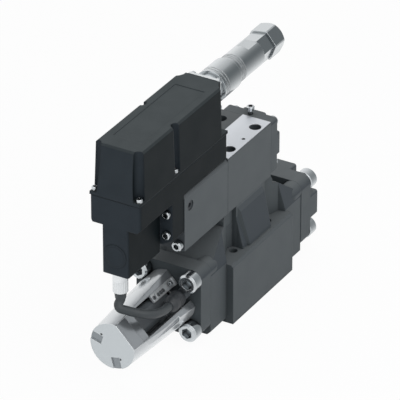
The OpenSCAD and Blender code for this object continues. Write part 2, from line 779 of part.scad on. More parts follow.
// The terminal bracket stands beside the plug, on the coil and against the end cap
module sensor_bracket() {
    plate_l = 28;
    plate_w = 7.2;
    y0 = 4.4;
    color(dark_steel) in_window() difference() {
        union() {
            translate([-cap_x - plate_l, y0, coil_d / 2 - 1.2]) cube([plate_l, plate_w, 2.4]);
            translate([-cap_x - bracket_t, y0, coil_d / 2 - 1.2]) cube([bracket_t, plate_w, 7.6]);
            translate([-cap_x - 24, y0 + 1, coil_d / 2 + 1]) cube([12, plate_w - 2, 3]);
        }
        translate([0, bracket_screw_at.x, bracket_screw_at.y])
            rod_x(m2[0] + 2 * fit, -cap_x - bracket_t - cut, -cap_x + cut);
        for (k = [0:2]) translate([-cap_x - 21.5 + 3.6 * k, y0 + plate_w / 2, coil_d / 2 + 1]) cylinder(d = 1.8, h = 4);
        translate([-cap_x - plate_l + 1.8, y0 + plate_w / 2, coil_d / 2 - 2]) cylinder(d = m2[0] + 2 * fit, h = 5);
    }
}

module sensor_bracket_screws() {
    color(steel) {
        bracket_screw_places() translate([-cap_x - bracket_t, 0, 0]) faces_front() screw(m2, bracket_t + 3);
        foot_screw_places() translate([-cap_x - foot_wall, 0, 0]) faces_front() screw(m3, foot_wall + 4.8);
    }
}

module sensor_socket() {
    color(dark_steel) translate([0, sensor_plug_b.y, sensor_plug_b.z]) {
        rod_x(9.6, sensor_plug_b.x, -cap_x);
        rod_x(socket_spigot_d, -cap_x - cut, -cap_x + 4.5);
    }
}

module sensor_plug() {
    l = norm(sensor_plug_b - sensor_plug_a);
    color(rubber) difference() {
        between(sensor_plug_a, sensor_plug_b) {
            cylinder(d1 = cable_d + 2.4, d2 = sensor_plug_d, h = 4);
            translate([0, 0, 4]) cylinder(d = sensor_plug_d, h = l - 4);
        }
        translate([sensor_plug_b.x, -40, 20]) cube([20, 60, 50]);
    }
}

module sensor_cable() {
    color(rubber) sweep(smooth(cable_points, 3), cable_d, 12, [1, 1, 0.3]);
}

module box_cable_plug() {
    color(black) translate([box_socket_x, 0, 0]) {
        translate([0, 0, cable_points[0].z]) cylinder(d1 = cable_d + 1.4, d2 = 10, h = box_socket_z - cable_points[0].z);
        translate([0, 0, box_socket_z]) cylinder(d = box_plug_d, h = box_plug_l);
    }
}

// The knurled nut turns on the plug and screws onto the socket
module box_plug_nut() {
    ribs = 24;
    top = leg_z - 1;
    color(steel) translate([box_socket_x, 0, 0]) difference() {
        translate([0, 0, box_socket_z + 0.05]) cylinder(d = box_nut_d, h = top - box_socket_z - 0.05);
        translate([0, 0, box_socket_z - cut]) cylinder(d = box_plug_d + 0.1, h = box_plug_l);
        translate([0, 0, box_socket_z + 2]) cylinder(d = box_socket_d + 0.1, h = 20);
        for (k = [0:ribs - 1]) rotate([0, 0, 360 * k / ribs])
            translate([box_nut_d / 2 + 0.25, 0, box_socket_z - 1]) cylinder(d = 1, h = 11, $fn = 12);
    }
}

module box_sensor_socket() {
    mouth = box_socket_z + box_plug_l;
    color(steel) translate([box_socket_x, 0, 0]) {
        translate([0, 0, mouth]) cylinder(d = box_socket_d, h = leg_z - mouth);
        translate([0, 0, leg_z - 0.9]) cylinder(d = 11.4, h = 0.9);
        translate([0, 0, leg_z - cut]) cylinder(d = box_plug_d, h = box_wall + 4 + cut);
    }
}

// Pilot valve

// A fine groove runs round the joint with the actuator
module pilot_block() {
    translate([pilot_x0 + joint_groove, -pilot_w / 2, pilot_z]) cube([pilot_l - joint_groove, pilot_w, pilot_h]);
    translate([pilot_x0, -pilot_w / 2 + joint_groove, pilot_z])
        cube([joint_groove + cut, pilot_w - 2 * joint_groove, pilot_h - joint_groove]);
}

module pilot_body() {
    color(painted) difference() {
        pilot_block();
        translate([0, 0, pilot_mid]) rod_x(pilot_sleeve_d + 2 * fit, pilot_x0 - cut, pilot_x1 + cut);
        at_corners_z(pilot_bolt_dx / 2, pilot_bolt_dy / 2) {
            translate([0, 0, pilot_z - cut]) cylinder(d = m5[0] + 0.4, h = pilot_h);
            translate([0, 0, pilot_seat_z]) cylinder(d = pilot_counterbore_d, h = pilot_h);
        }
        for (p = pilot_channels) translate([p.x, p.y, pilot_z - cut]) {
            cylinder(d = channel_d, h = pilot_mid - pilot_z - abs(p.y) / 3);
            cylinder(d = channel_d + 5, h = cut + 1.4);
        }
        at_corners_x(cover_screw_y, cover_screw_z, pilot_mid)
            rod_x(m5[0] + 2 * fit, pilot_x1 - cover_screw_grip - 0.5, pilot_x1 + cut);
        actuator_screw_places() rod_x(m5[0] + 2 * fit, pilot_x0 - cut, pilot_x0 + 9.5);
    }
}

module pilot_sleeve() {
    color(dark_steel) translate([0, 0, pilot_mid]) difference() {
        rod_x(pilot_sleeve_d, pilot_x0, pilot_x1);
        rod_x(pilot_spool_d + 2 * run, pilot_x0 - cut, pilot_x1 + cut);
        for (x = [-13, 0, 13]) {
            translate([x, 0, -pilot_sleeve_d]) cylinder(d = 3.5, h = pilot_sleeve_d);
            tube_x(pilot_sleeve_d + 1, pilot_sleeve_d - 2, x - 2.2, x + 2.2);
        }
    }
}

module pilot_spool() {
    color(steel) translate([0, 0, pilot_mid]) {
        rod_x(pilot_spool_d / 2, pilot_rod_x, pilot_spool_x1);
        for (x = pilot_lands) rod_x(pilot_spool_d, x - pilot_land_l / 2, x + pilot_land_l / 2);
    }
}

module pilot_spring() {
    color(dark_steel) translate([0, 0, pilot_mid])
        coil_spring(pilot_spool_x1, pilot_x1 + 4, pilot_spool_d / 2 - 1.2, 1.1, 4.5);
}

module pilot_rear_cover() {
    edge = 1.5;
    color(painted) difference() {
        union() {
            along_x(pilot_x1, pilot_x1 + cover_t) translate([0, pilot_mid])
                round_rect(pilot_w, pilot_h, 3);
            along_x(pilot_x1 + cover_t, pilot_x1 + cover_t + pilot_cross_h) translate([0, pilot_mid]) {
                round_rect(20, pilot_h - 2, edge);
                round_rect(pilot_w, 20, edge);
            }
        }
        translate([0, 0, pilot_mid]) rod_x(pilot_spool_d + 1, pilot_x1 - cut, pilot_x1 + 4);
        at_corners_x(cover_screw_y, cover_screw_z, pilot_mid)
            rod_x(m5[0] + 2 * fit, pilot_x1 - cut, pilot_x1 + cover_t + pilot_cross_h + cut);
        translate([vent_x, vent_y, pilot_top - 6]) cylinder(d = 4 + 2 * fit, h = 7);
    }
}

module pilot_cover_screws() {
    color(steel) translate([pilot_x1 + cover_t, 0, 0])
        at_corners_x(cover_screw_y, cover_screw_z, pilot_mid) faces_rear() screw(m5, cover_t + cover_screw_grip);
}

module pilot_mounting_screws() {
    color(steel) at_corners_z(pilot_bolt_dx / 2, pilot_bolt_dy / 2)
        translate([0, 0, pilot_seat_z]) screw(m5, pilot_seat_z - pilot_z + 11);
}

module pilot_interface_seals() {
    color(rubber) for (p = pilot_channels) translate([p.x, p.y, pilot_z + 0.7]) seal_ring(channel_d + 3.2, 1.3);
}

// The plate covers a little more than half of the top and is drilled for two of the screws
module top_plate() {
    color(cast_bright) difference() {
        translate([pilot_x0 + 0.8, -pilot_w / 2 + 0.4, pilot_top]) cube([pilot_l - 1, pilot_w / 2 + 2.6, plate_t]);
        at_corners_z(pilot_bolt_dx / 2, pilot_bolt_dy / 2)
            translate([0, 0, pilot_top - cut]) cylinder(d = pilot_counterbore_d, h = plate_t + 2 * cut);
        translate([-1, -17, pilot_top - cut]) cylinder(d = 3, h = plate_t + 2 * cut);
    }
}

module vent_screw() {
    color(steel) translate([vent_x, vent_y, pilot_top]) {
        translate([0, 0, -5.5]) cylinder(d = 4, h = 6);
        cylinder(d = 6.5, h = 3.5);
        translate([0, 0, 3.5]) cylinder(d = 6.5 / cos(30) * 0.86, h = 3.5, $fn = 6);
    }
}

// Actuator

module actuator_screw_places() {
    for (s = [-1, 1]) {
        translate([0, s * actuator_low.x, actuator_low.y]) children();
        translate([0, s * actuator_high.x, actuator_high.y]) children();
    }
}

module actuator_housing() {
    half = pilot_w / 2;
    color(painted) difference() {
        along_x(actuator_x0, pilot_x0) polygon([[-half, pilot_z], [-half, pilot_top - actuator_bevel],
            [-half + actuator_bevel, pilot_top], [half - actuator_bevel, pilot_top],
            [half, pilot_top - actuator_bevel], [half, pilot_z]]);
        translate([0, 0, pilot_mid]) {
            rod_x(actuator_bore_d, actuator_x0 + actuator_wall, pilot_x0 + cut);
            rod_x(pilot_sensor_d + 2 * fit, actuator_x0 - cut, actuator_x0 + actuator_wall + 1);
        }
        actuator_screw_places() rod_x(m5[0] + 2 * fit, actuator_x0 - cut, pilot_x0 + cut);
        for (s = [-1, 1]) translate([0, s * actuator_high.x, actuator_high.y])
            rod_x(m5[1] + 0.4, actuator_x0 - cut, actuator_x0 + sunk);
        flange_screw_places() rod_x(m4[0] + 2 * fit, actuator_x0 - cut, actuator_x0 + 6);
        side_plug_axis() translate([0, 0, -side_plug_l - 0.8]) cylinder(d = side_plug_d, h = 10);
    }
}

module side_plug_axis() {
    translate([actuator_x0 + 9, -pilot_w / 2, pilot_top - 11.5]) rotate([90, 0, 0]) children();
}

module actuator_plug() {
    color(black) side_plug_axis() difference() {
        translate([0, 0, -side_plug_l - 0.8]) cylinder(d = side_plug_d - 2 * fit, h = side_plug_l);
        translate([0, 0, -2.4]) cylinder(d = 4 / cos(30), h = 3, $fn = 6);
    }
}

module magnet_ring() {
    color(dark_steel) translate([0, 0, pilot_mid])
        tube_x(actuator_bore_d - 2 * fit, moving_coil_d + 2, pole_x, magnet_x1);
}

module pole_core() {
    color(steel) translate([0, 0, pilot_mid]) difference() {
        union() {
            rod_x(actuator_bore_d - 2 * fit, actuator_x0 + actuator_wall, pole_x);
            rod_x(moving_coil_d - 7, pole_x, magnet_x1 - 2);
        }
        rod_x(5, actuator_x0 + 7, magnet_x1);
    }
}

module coil_bobbin() {
    x1 = pilot_x0 - 10;
    color(cast_bright) translate([0, 0, pilot_mid]) {
        difference() {
            union() {
                rod_x(moving_coil_d - 2 * bobbin_wall, winding_x0, x1);
                rod_x(moving_coil_d, winding_x0 - 1, winding_x0);
                rod_x(moving_coil_d, winding_x1, winding_x1 + 1);
            }
            rod_x(moving_coil_d - 5.4, winding_x0 - 2, x1 - 4);
            rod_x(pilot_spool_d / 2 + 2 * fit, x1 - 5, x1 + cut);
        }
    }
}

module coil_winding() {
    color(copper) translate([0, 0, pilot_mid])
        tube_x(moving_coil_d, moving_coil_d - 2 * bobbin_wall + 2 * fit, winding_x0, winding_x1);
}

module pilot_sensor_coil() {
    color(dark_steel) translate([0, 0, pilot_mid]) difference() {
        rod_x(pilot_sensor_d, flange_x0 + 1.5, actuator_x0 + actuator_wall);
        rod_x(4.4, flange_x0 + 3.5, actuator_x0 + 9);
    }
}

module pilot_core_rod() {
    color(steel) translate([0, 0, pilot_mid]) {
        rod_x(3, actuator_x0 - 2, pilot_rod_x);
        rod_x(4, actuator_x0 - 12, actuator_x0 - 2);
    }
}

module actuator_screws() {
    color(steel) for (s = [-1, 1]) {
        translate([actuator_x0, s * actuator_low.x, actuator_low.y]) faces_front() screw(m5, actuator_l + 9);
        translate([actuator_x0 + sunk, s * actuator_high.x, actuator_high.y]) faces_front()
            screw(m5, actuator_l - sunk + 9);
    }
}

// Electronics box

module flange_screw_places() {
    for (s = [-1, 1], z = [pilot_mid - 1, pilot_mid + 17])
        translate([0, s * flange_screw_y, z]) children();
}

module box_foot_outline() {
    half = box_w / 2;
    polygon([[-half + 2.5, pilot_top], [-half, pilot_top + 2.5], [-half, box_joint_z],
        [half, box_joint_z], [half, pilot_top + 2.5], [half - 2.5, pilot_top]]);
}

// The foot of the flange ends above the lower actuator screws
module flange_outline() {
    half = box_w / 2;
    polygon([[-half, box_floor_z], [-half, flange_side_z], [-half + flange_corner, flange_low_z],
        [half - flange_corner, flange_low_z], [half, flange_side_z], [half, box_floor_z]]);
}

module box_plan(inset) {
    translate([(box_x0 + box_x1) / 2, 0]) round_rect(box_l - 2 * inset, box_w - 2 * inset, 3);
}

// The hollow of the box, seen from above, with the posts of the cover screws left standing
module hollow_plan() {
    difference() {
        translate([box_x0 + box_wall, -box_w / 2 + box_wall]) square([box_l - 2 * box_wall, box_w - 2 * box_wall]);
        for (p = cover_screw_at) translate(p) circle(d = 9);
        for (f = rear_flutes) translate([f.x - 3, f.y * 0.82]) circle(d = 14);
    }
}

module flange_screw_holes() {
    flange_screw_places() rod_x(m4[0] + 2 * fit, flange_x0 - cut, actuator_x0 + cut);
}

module box_base() {
    color(black) difference() {
        union() {
            intersection() {
                along_x(box_x0, box_x1) box_foot_outline();
                translate([0, 0, pilot_top]) linear_extrude(box_joint_z - pilot_top) box_plan(0);
            }
            translate([(box_x0 + flange_x0) / 2, 0, leg_z]) linear_extrude(pilot_top - leg_z + 4)
                round_rect(leg_l, leg_w, 2);
            along_x(flange_x0, actuator_x0) flange_outline();
        }
        difference() {
            translate([0, 0, box_floor_z]) linear_extrude(box_joint_z) hollow_plan();
            for (x = [box_x0 + 12, box_x1 - 22], y = [-12, 12]) translate([x, y, 0]) cylinder(d = 6, h = board_z);
        }
        translate([box_x0 + box_wall, -leg_w / 2 + box_wall, leg_z + box_wall])
            cube([leg_l - box_wall - 1, leg_w - 2 * box_wall, box_floor_z - leg_z]);
        translate([0, 0, pilot_mid]) rod_x(pilot_sensor_d + 2 * fit, flange_x0 - 3, actuator_x0 + cut);
        translate([0, 0, leg_cap_z]) rod_x(leg_spigot_d + 2 * fit, box_x0 - cut, box_x0 + box_wall + cut);
        translate([box_socket_x, 0, leg_z - cut]) cylinder(d = box_plug_d + 2 * fit, h = box_wall + 2 * cut);
        flange_screw_holes();
        for (p = cover_screw_at) translate([p.x, p.y, box_joint_z - 10]) cylinder(d = m3[0] + 2 * fit, h = 11);
    }
}

module box_gasket() {
    color(rubber) translate([0, 0, box_joint_z]) linear_extrude(gasket_t) difference() {
        box_plan(0.4);
        hollow_plan();
        for (p = cover_screw_at) translate(p) circle(d = m3[0] + 2 * fit);
    }
}

module box_cover_solid() {
    intersection() {
        along_y(-box_w / 2, box_w / 2) polygon([[box_x0, cover_z], [box_x0 + box_lean, box_top_z - top_edge],
            [box_x0 + box_lean + top_edge, box_top_z], [box_x1, box_top_z], [box_x1, cover_z]]);
        along_x(box_x0, box_x1) polygon([[-box_w / 2, cover_z], [-box_top_w / 2, box_top_z - top_edge],
            [-box_top_w / 2 + top_edge, box_top_z], [box_top_w / 2 - top_edge, box_top_z],
            [box_top_w / 2, box_top_z - top_edge], [box_w / 2, cover_z]]);
    }
}

module box_cover() {
    inner_w = box_top_w - 2 * box_wall;
    post_wall = 2.2;
    // Reaches from a corner flute's axis past the outside of the cover
    corner_out = 20;
    color(black) difference() {
        box_cover_solid();
        difference() {
            translate([box_x0 + box_lean + box_wall, -inner_w / 2, cover_z - cut])
                cube([box_l - box_lean - 2 * box_wall, inner_w, box_top_z - cover_z - box_wall + cut]);
            for (f = side_flutes) translate([f.x, f.y, 0]) cylinder(d = flute_d + 2 * post_wall, h = box_top_z);
            for (f = corner_flutes) translate([f.x, f.y, 0])
                cylinder(d = corner_flute_d + 2 * post_wall, h = box_top_z);
            for (f = rear_flutes) translate([f.x, f.y, 0]) cylinder(d = rear_flute_d + 2 * post_wall, h = box_top_z);
        }
        for (f = side_flutes) translate([f.x, f.y, cover_z + flute_foot]) cylinder(d = flute_d, h = box_top_z);
        for (f = corner_flutes) translate([f.x, f.y, cover_z + flute_foot]) {
            cylinder(d = corner_flute_d, h = box_top_z);
            translate([-corner_out, f.y < 0 ? -corner_out : 0, 0]) cube([corner_out, corner_out, box_top_z]);
        }
        for (p = cover_screw_at) translate(p) cylinder(d = m3[0] + 2 * fit, h = box_top_z);
        for (f = rear_flutes) translate([f.x, f.y, cover_z + flute_foot]) cylinder(d = rear_flute_d, h = box_top_z);
        translate([label_x[0], -label_half, box_top_z - 0.3]) cube([label_x[1] - label_x[0], 2 * label_half, 1]);
        translate([0, 0, plug_z]) rod_x(receptacle_spigot_d + 2 * fit, box_x1 - 8, box_x1 + cut);
        translate([0, 0, plug_z]) receptacle_screw_places() rod_x(m3[0] + 2 * fit, box_x1 - 8, box_x1 + cut);
    }
}

module circuit_board() {
    color(board_green) {
        translate([box_x0 + board_front, -board_w / 2, board_z])
            cube([box_l - board_front - board_rear, board_w, board_t]);
        translate([box_x0 + 2 * board_front, 0, board_z + board_t]) {
            for (k = [0:4]) translate([chip_pitch * k, -chip_w / 2, 0]) cube([chip_w, chip_w, chip_h]);
            for (k = [0:2]) translate([capacitor_pitch * k + 17, capacitor_y, 0])
                cylinder(d = capacitor_d, h = capacitor_h);
        }
    }
}

module cover_screws() {
    color(steel) for (p = cover_screw_at) translate([p.x, p.y, cover_z + flute_foot])
        screw(m3_small, 11);
}

module flange_screws() {
    color(steel) translate([flange_x0, 0, 0]) flange_screw_places() faces_front()
        screw(m4, actuator_x0 - flange_x0 + 5);
}

module front_plug() {
    color(black) translate([0, 0, leg_cap_z]) {
        rod_x(leg_spigot_d + 4, box_x0 - 0.4, box_x0);
        rod_x(leg_spigot_d, box_x0 - cut, box_x0 + box_wall);
    }
}

module receptacle_screw_places() {
    for (y = [-1, 1], z = [-1, 1]) translate([0, y * receptacle_screw_off, z * receptacle_screw_off]) children();
}

// Pins stand on a circle round the one in the middle
module pin_places() {
    children();
    for (k = [0:5]) rotate([60 * k, 0, 0]) translate([0, 0, pin_circle_r]) children();
}

module receptacle() {
    color(steel) translate([0, 0, plug_z]) difference() {
        union() {
            along_x(box_x1, box_x1 + receptacle_flange_t) round_rect(flange_w, flange_w, 2);
            rod_x(receptacle_spigot_d, box_x1 - 7, box_x1 + cut);
            rod_x(thread_d, box_x1, insert_x1);
        }
        rod_x(insert_d + 2 * fit, box_x1 + 4, insert_x1 + 1);
        receptacle_screw_places() rod_x(m3[0] + 2 * fit, box_x1 - cut, box_x1 + receptacle_flange_t + cut);
        pin_places() rod_x(pin_d + 2 * fit, box_x1 - 8, box_x1 + 5);
    }
}

module receptacle_pins() {
    color(copper) translate([0, 0, plug_z]) pin_places() rod_x(pin_d, box_x1 - 12, box_x1 + 16);
}

module receptacle_screws() {
    color(steel) translate([box_x1 + receptacle_flange_t, 0, plug_z]) receptacle_screw_places() faces_rear() screw(m3, 8);
}

// Cable plug

module plug_shell() {
    neck_d = thread_d - 2.4;
    collar = 3;
    collar_x = insert_x1 + 0.05;
    flat_l = 14;
    flat_deep = 1.3;
    color(steel) translate([0, 0, plug_z]) difference() {
        union() {
            rod_x(thread_d, collar_x, collar_x + collar);
            rod_x(neck_d, collar_x + 1, ring_x1 + 1);
            rod_x(shell_d, ring_x1 + 0.3, shell_x1);
        }
        rod_x(plug_bore_d, collar_x - cut, shell_x1 + cut);
        for (s = [0, 180]) rotate([s, 0, 0]) translate([shell_x1 - flat_l, -shell_d / 2, shell_d / 2 - flat_deep])
            cube([flat_l + cut, shell_d, 2 * flat_deep]);
        for (k = [0:2]) tube_x(shell_d + 1, shell_d - 0.8, ring_x1 + 4 + 2.4 * k, ring_x1 + 5.2 + 2.4 * k);
    }
}

module coupling_ring() {
    groove_w = 1;
    shoulder_x = ring_x0 + 14.1;
    color(steel) translate([0, 0, plug_z]) difference() {
        rod_x(ring_d, ring_x0, ring_x1);
        rod_x(thread_d + 0.1, ring_x0 - cut, shoulder_x);
        rod_x(thread_d - 2.3, ring_x0, ring_x1 + cut);
        for (k = [1, 2]) tube_x(ring_d + 1, ring_d - 0.8, ring_x0 + 3 * k, ring_x0 + 3 * k + groove_w);
    }
}

module plug_insert() {
    color(black) translate([0, 0, plug_z]) difference() {
        union() {
            rod_x(insert_d, insert_x0, insert_x1);
            rod_x(plug_bore_d - 2 * fit, insert_x1 - 1, insert_x1 + 11);
        }
        pin_places() rod_x(pin_d + 4 * fit, insert_x0 - cut, insert_x0 + 13.7);
    }
}

module gland_body() {
    color(steel) translate([0, 0, plug_z]) difference() {
        union() {
            rod_x(plug_bore_d - 2 * fit, shell_x1 - 8, shell_x1);
            translate([shell_x1, 0, 0]) rotate([hex_turn, 0, 0]) rotate([0, 90, 0])
                cylinder(d = gland_af / cos(30), h = gland_l, $fn = 6);
            rod_x(gland_thread_d, gland_x1 - 1, gland_x1 + 8);
        }
        rod_x(cable_way_d + 1, shell_x1 - 9, gland_x1 + 9);
        rod_x(gland_seat_d, gland_x1 - 4, gland_x1 + 9);
    }
}

// The nut has a round nose and six flats
module gland_nut() {
    nose = 4.5;
    color(steel) translate([0, 0, plug_z]) difference() {
        intersection() {
            union() {
                rod_x(gland_nut_d, gland_x1 + 0.05, nut_x1 - nose);
                translate([nut_x1 - nose, 0, 0]) rotate([0, 90, 0])
                    cylinder(d1 = gland_nut_d, d2 = gland_nut_d - 8, h = nose);
            }
            translate([gland_x1 - cut, 0, 0]) rotate([hex_turn, 0, 0]) rotate([0, 90, 0])
                cylinder(d = (gland_nut_d - 3) / cos(30), h = gland_nut_l + 2, $fn = 6);
        }
        rod_x(gland_thread_d + 0.1, gland_x1 - cut, gland_x1 + 10);
        rod_x(cable_way_d + 1, gland_x1, nut_x1 + cut);
    }
}

module gland_grommet() {
    color(rubber) translate([0, 0, plug_z])
        tube_x(gland_seat_d - 2 * fit, cable_way_d, gland_x1 - 4, gland_x1 + 9.7);
}

main_body();
front_end_cap();
rear_end_cap();
front_cap_screws();
rear_cap_screws();
main_spool();
front_spring();
rear_spring();
front_spring_seat();
rear_spring_seat();
front_cap_seal();
rear_cap_seal();
port_seals();
sensor_housing();
sensor_tube();
sensor_coil();
sensor_core_rod();
sensor_bracket();
sensor_bracket_screws();
sensor_socket();
sensor_plug();
sensor_cable();
box_cable_plug();
box_plug_nut();
box_sensor_socket();
pilot_body();
pilot_sleeve();
pilot_spool();
pilot_spring();
pilot_rear_cover();
pilot_cover_screws();
pilot_mounting_screws();
pilot_interface_seals();
top_plate();
vent_screw();
actuator_housing();
magnet_ring();
pole_core();
coil_bobbin();
coil_winding();
pilot_sensor_coil();
pilot_core_rod();
actuator_screws();
actuator_plug();
box_base();
box_cover();
box_gasket();
circuit_board();
cover_screws();
flange_screws();
front_plug();
receptacle();
receptacle_pins();
receptacle_screws();
plug_shell();
coupling_ring();
plug_insert();
gland_body();
gland_nut();
gland_grommet();
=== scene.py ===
"""Looks of the proportional directional valve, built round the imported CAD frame.

X runs along the spools, Z stands on the mounting face, and lengths are in metres. The CAD nodes
get their finishes. The screws, the springs and the sensor's cable, plug and bracket are built anew,
each in the place of the CAD node that it stands for.
"""

import logging
from dataclasses import dataclass, field, replace
from enum import Enum
from math import cos, pi, radians, sin
from typing import Any, Iterable, Optional, Union

import bmesh
import bpy
from mathutils import Matrix, Vector

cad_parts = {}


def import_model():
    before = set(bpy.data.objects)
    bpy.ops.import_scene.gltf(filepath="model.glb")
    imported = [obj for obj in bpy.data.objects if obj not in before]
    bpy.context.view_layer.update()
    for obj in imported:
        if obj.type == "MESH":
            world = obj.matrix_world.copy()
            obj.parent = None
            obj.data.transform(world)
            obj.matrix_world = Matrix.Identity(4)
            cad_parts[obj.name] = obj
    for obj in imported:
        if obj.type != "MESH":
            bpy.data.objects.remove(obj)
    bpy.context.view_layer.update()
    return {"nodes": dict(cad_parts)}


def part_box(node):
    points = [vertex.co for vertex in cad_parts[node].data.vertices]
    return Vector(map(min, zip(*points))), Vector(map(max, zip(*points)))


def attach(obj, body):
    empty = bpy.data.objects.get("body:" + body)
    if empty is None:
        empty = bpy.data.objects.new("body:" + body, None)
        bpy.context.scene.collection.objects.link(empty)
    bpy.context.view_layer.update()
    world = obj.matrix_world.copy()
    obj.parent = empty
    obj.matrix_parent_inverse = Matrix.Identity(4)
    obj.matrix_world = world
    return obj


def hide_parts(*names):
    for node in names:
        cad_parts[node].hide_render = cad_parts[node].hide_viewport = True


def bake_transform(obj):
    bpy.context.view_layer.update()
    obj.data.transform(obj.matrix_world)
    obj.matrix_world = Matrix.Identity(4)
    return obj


log = logging.getLogger("valve")

MM = 0.001
MERGE_DISTANCE = 0.002 * MM
SMOOTH_ANGLE = radians(28)

Colour = tuple[float, float, float]
Point = tuple[float, float, float]
CadNodes = dict[str, bpy.types.Object]


def srgb(red: int, green: int, blue: int) -> Colour:
    """Turn a colour as a screen shows it into the linear one that a shader takes.

    Args:
        red: Red from 0 to 255.
        green: Green from 0 to 255.
        blue: Blue from 0 to 255.

    Returns:
        The linear colour, each part from 0 to 1.
    """

    def linear(part: int) -> float:
        """Return one part without the screen's gamma."""
        share = part / 255
        return share / 12.92 if share <= 0.04045 else ((share + 0.055) / 1.055) ** 2.4

    return linear(red), linear(green), linear(blue)


# Fixed ways of the object that its finishes know: the last three point at the middle of a painted
# reflection band on round metal, dark as though it mirrored a dark part of the room
UP = (0.0, 0.0, 1.0)
DOWN = (0.0, 0.0, -1.0)
FORWARD = (-1.0, 0.0, 0.0)
NEAR_BAND = (0.0, -0.78, 0.62)
FAR_BAND = (0.0, 0.95, -0.3)
CROWN = (0.0, -0.09, 1.0)

# How sharply a mask round one of those ways falls off, and how dark the painted far reflection band
# is
BAND_POWER = 3.0
CROWN_POWER = 40.0
FACE_POWER = 8.0
FAR_BAND_SHARE = 0.6

# How steeply the masks of edges and of slopes rise; they carry the painted edge shading and
# highlight and the painted colour of slopes, and the rubbed edges of mouldings
EDGE_GAIN = 6.0
SLOPE_GAIN = 6.0

# Painted shade in holes and corners: how far off their walls may stand, how open a face that
# isn't one may be, how steeply the mask rises, and the colour of the painted shade
RECESS_REACH = 4 * MM
RECESS_OPEN = 0.86
RECESS_GAIN = 1.7
RECESS_SHADE = (0.012, 0.014, 0.016)

# The painted highlight along the edges of bare metal, and the painted shade on the floor of a
# shallow notch
GLINT = srgb(238, 241, 243)
NOTCH_SHADE = srgb(146, 152, 156)

# How far from the mounting plane a face may lie and still be taken for the machined one
FACE_DEPTH = 0.05 * MM

# Noise of every finish: its detail, and the level that it swings about
NOISE_DETAIL = 3.0
NOISE_MIDDLE = 0.5

# Samples of the nodes that look round a point, and bands of a wave texture over one unit of scale
MASK_SAMPLES = 6
WAVE_BANDS = 3.2

# Colours of the studio and its floor, and the rays that see its white background
WHITE = (1.0, 1.0, 1.0)
SKY = (0.95, 0.97, 1.0)
FLOOR_TONE = srgb(250, 250, 250)
FLOOR_SPECKLE = srgb(246, 247, 248)
SEEN_RAYS = ("Is Camera Ray", "Is Glossy Ray", "Is Transmission Ray")


class Body(Enum):
    """The bodies of the CAD frame that the new pieces follow."""

    VALVE = "valve"
    MAIN_SPOOL = "main_spool_set"
    PILOT_SPOOL = "pilot_spool_set"


class Slot(Enum):
    """Names of material slots for the new pieces."""

    SCREWS = "zinc_screws"
    SPRINGS = "spring_steel"
    RUBBER = "cable_rubber"
    PLATE = "bare_plate"


class Lay(Enum):
    """How the marks of a tool run over metal, as the stretch of their noise on each axis."""

    ALONG_X = (1.0, 30.0, 30.0)
    ROUND_X = (40.0, 1.5, 1.5)
    ROUND_Z = (1.5, 1.5, 40.0)
    EVEN = (8.0, 8.0, 8.0)


# Shader graphs


class Value:
    """A shader socket that takes part in Python arithmetic."""

    def __init__(self, tree: "Tree", socket: bpy.types.NodeSocket) -> None:
        """Keep the tree that the socket belongs to, and the socket."""
        self.tree = tree
        self.socket = socket

    def _math(self, operation: str, first: "Operand", second: "Operand") -> "Value":
        """Add a Math node for one operation and return its result."""
        return self.tree.value("ShaderNodeMath", {"operation": operation}, {0: first, 1: second})

    def __add__(self, other: "Operand") -> "Value":
        """Return the sum."""
        return self._math("ADD", self, other)

    def __radd__(self, other: "Operand") -> "Value":
        """Return the sum."""
        return self._math("ADD", other, self)

    def __sub__(self, other: "Operand") -> "Value":
        """Return the difference."""
        return self._math("SUBTRACT", self, other)

    def __rsub__(self, other: "Operand") -> "Value":
        """Return the difference, taken from the other."""
        return self._math("SUBTRACT", other, self)

    def __mul__(self, other: "Operand") -> "Value":
        """Return the product."""
        return self._math("MULTIPLY", self, other)

    def __rmul__(self, other: "Operand") -> "Value":
        """Return the product."""
        return self._math("MULTIPLY", other, self)

    def __pow__(self, power: float) -> "Value":
        """Return the value to that power."""
        return self._math("POWER", self, power)

    def at_least(self, other: "Operand") -> "Value":
        """Return the larger of the two."""
        return self._math("MAXIMUM", self, other)

    def at_most(self, other: "Operand") -> "Value":
        """Return the smaller of the two."""
        return self._math("MINIMUM", self, other)

    def swing(self, spread: float) -> "Value":
        """Return noise as a swing about zero over that spread."""
        return (self - NOISE_MIDDLE) * spread


Operand = Union[Value, float]


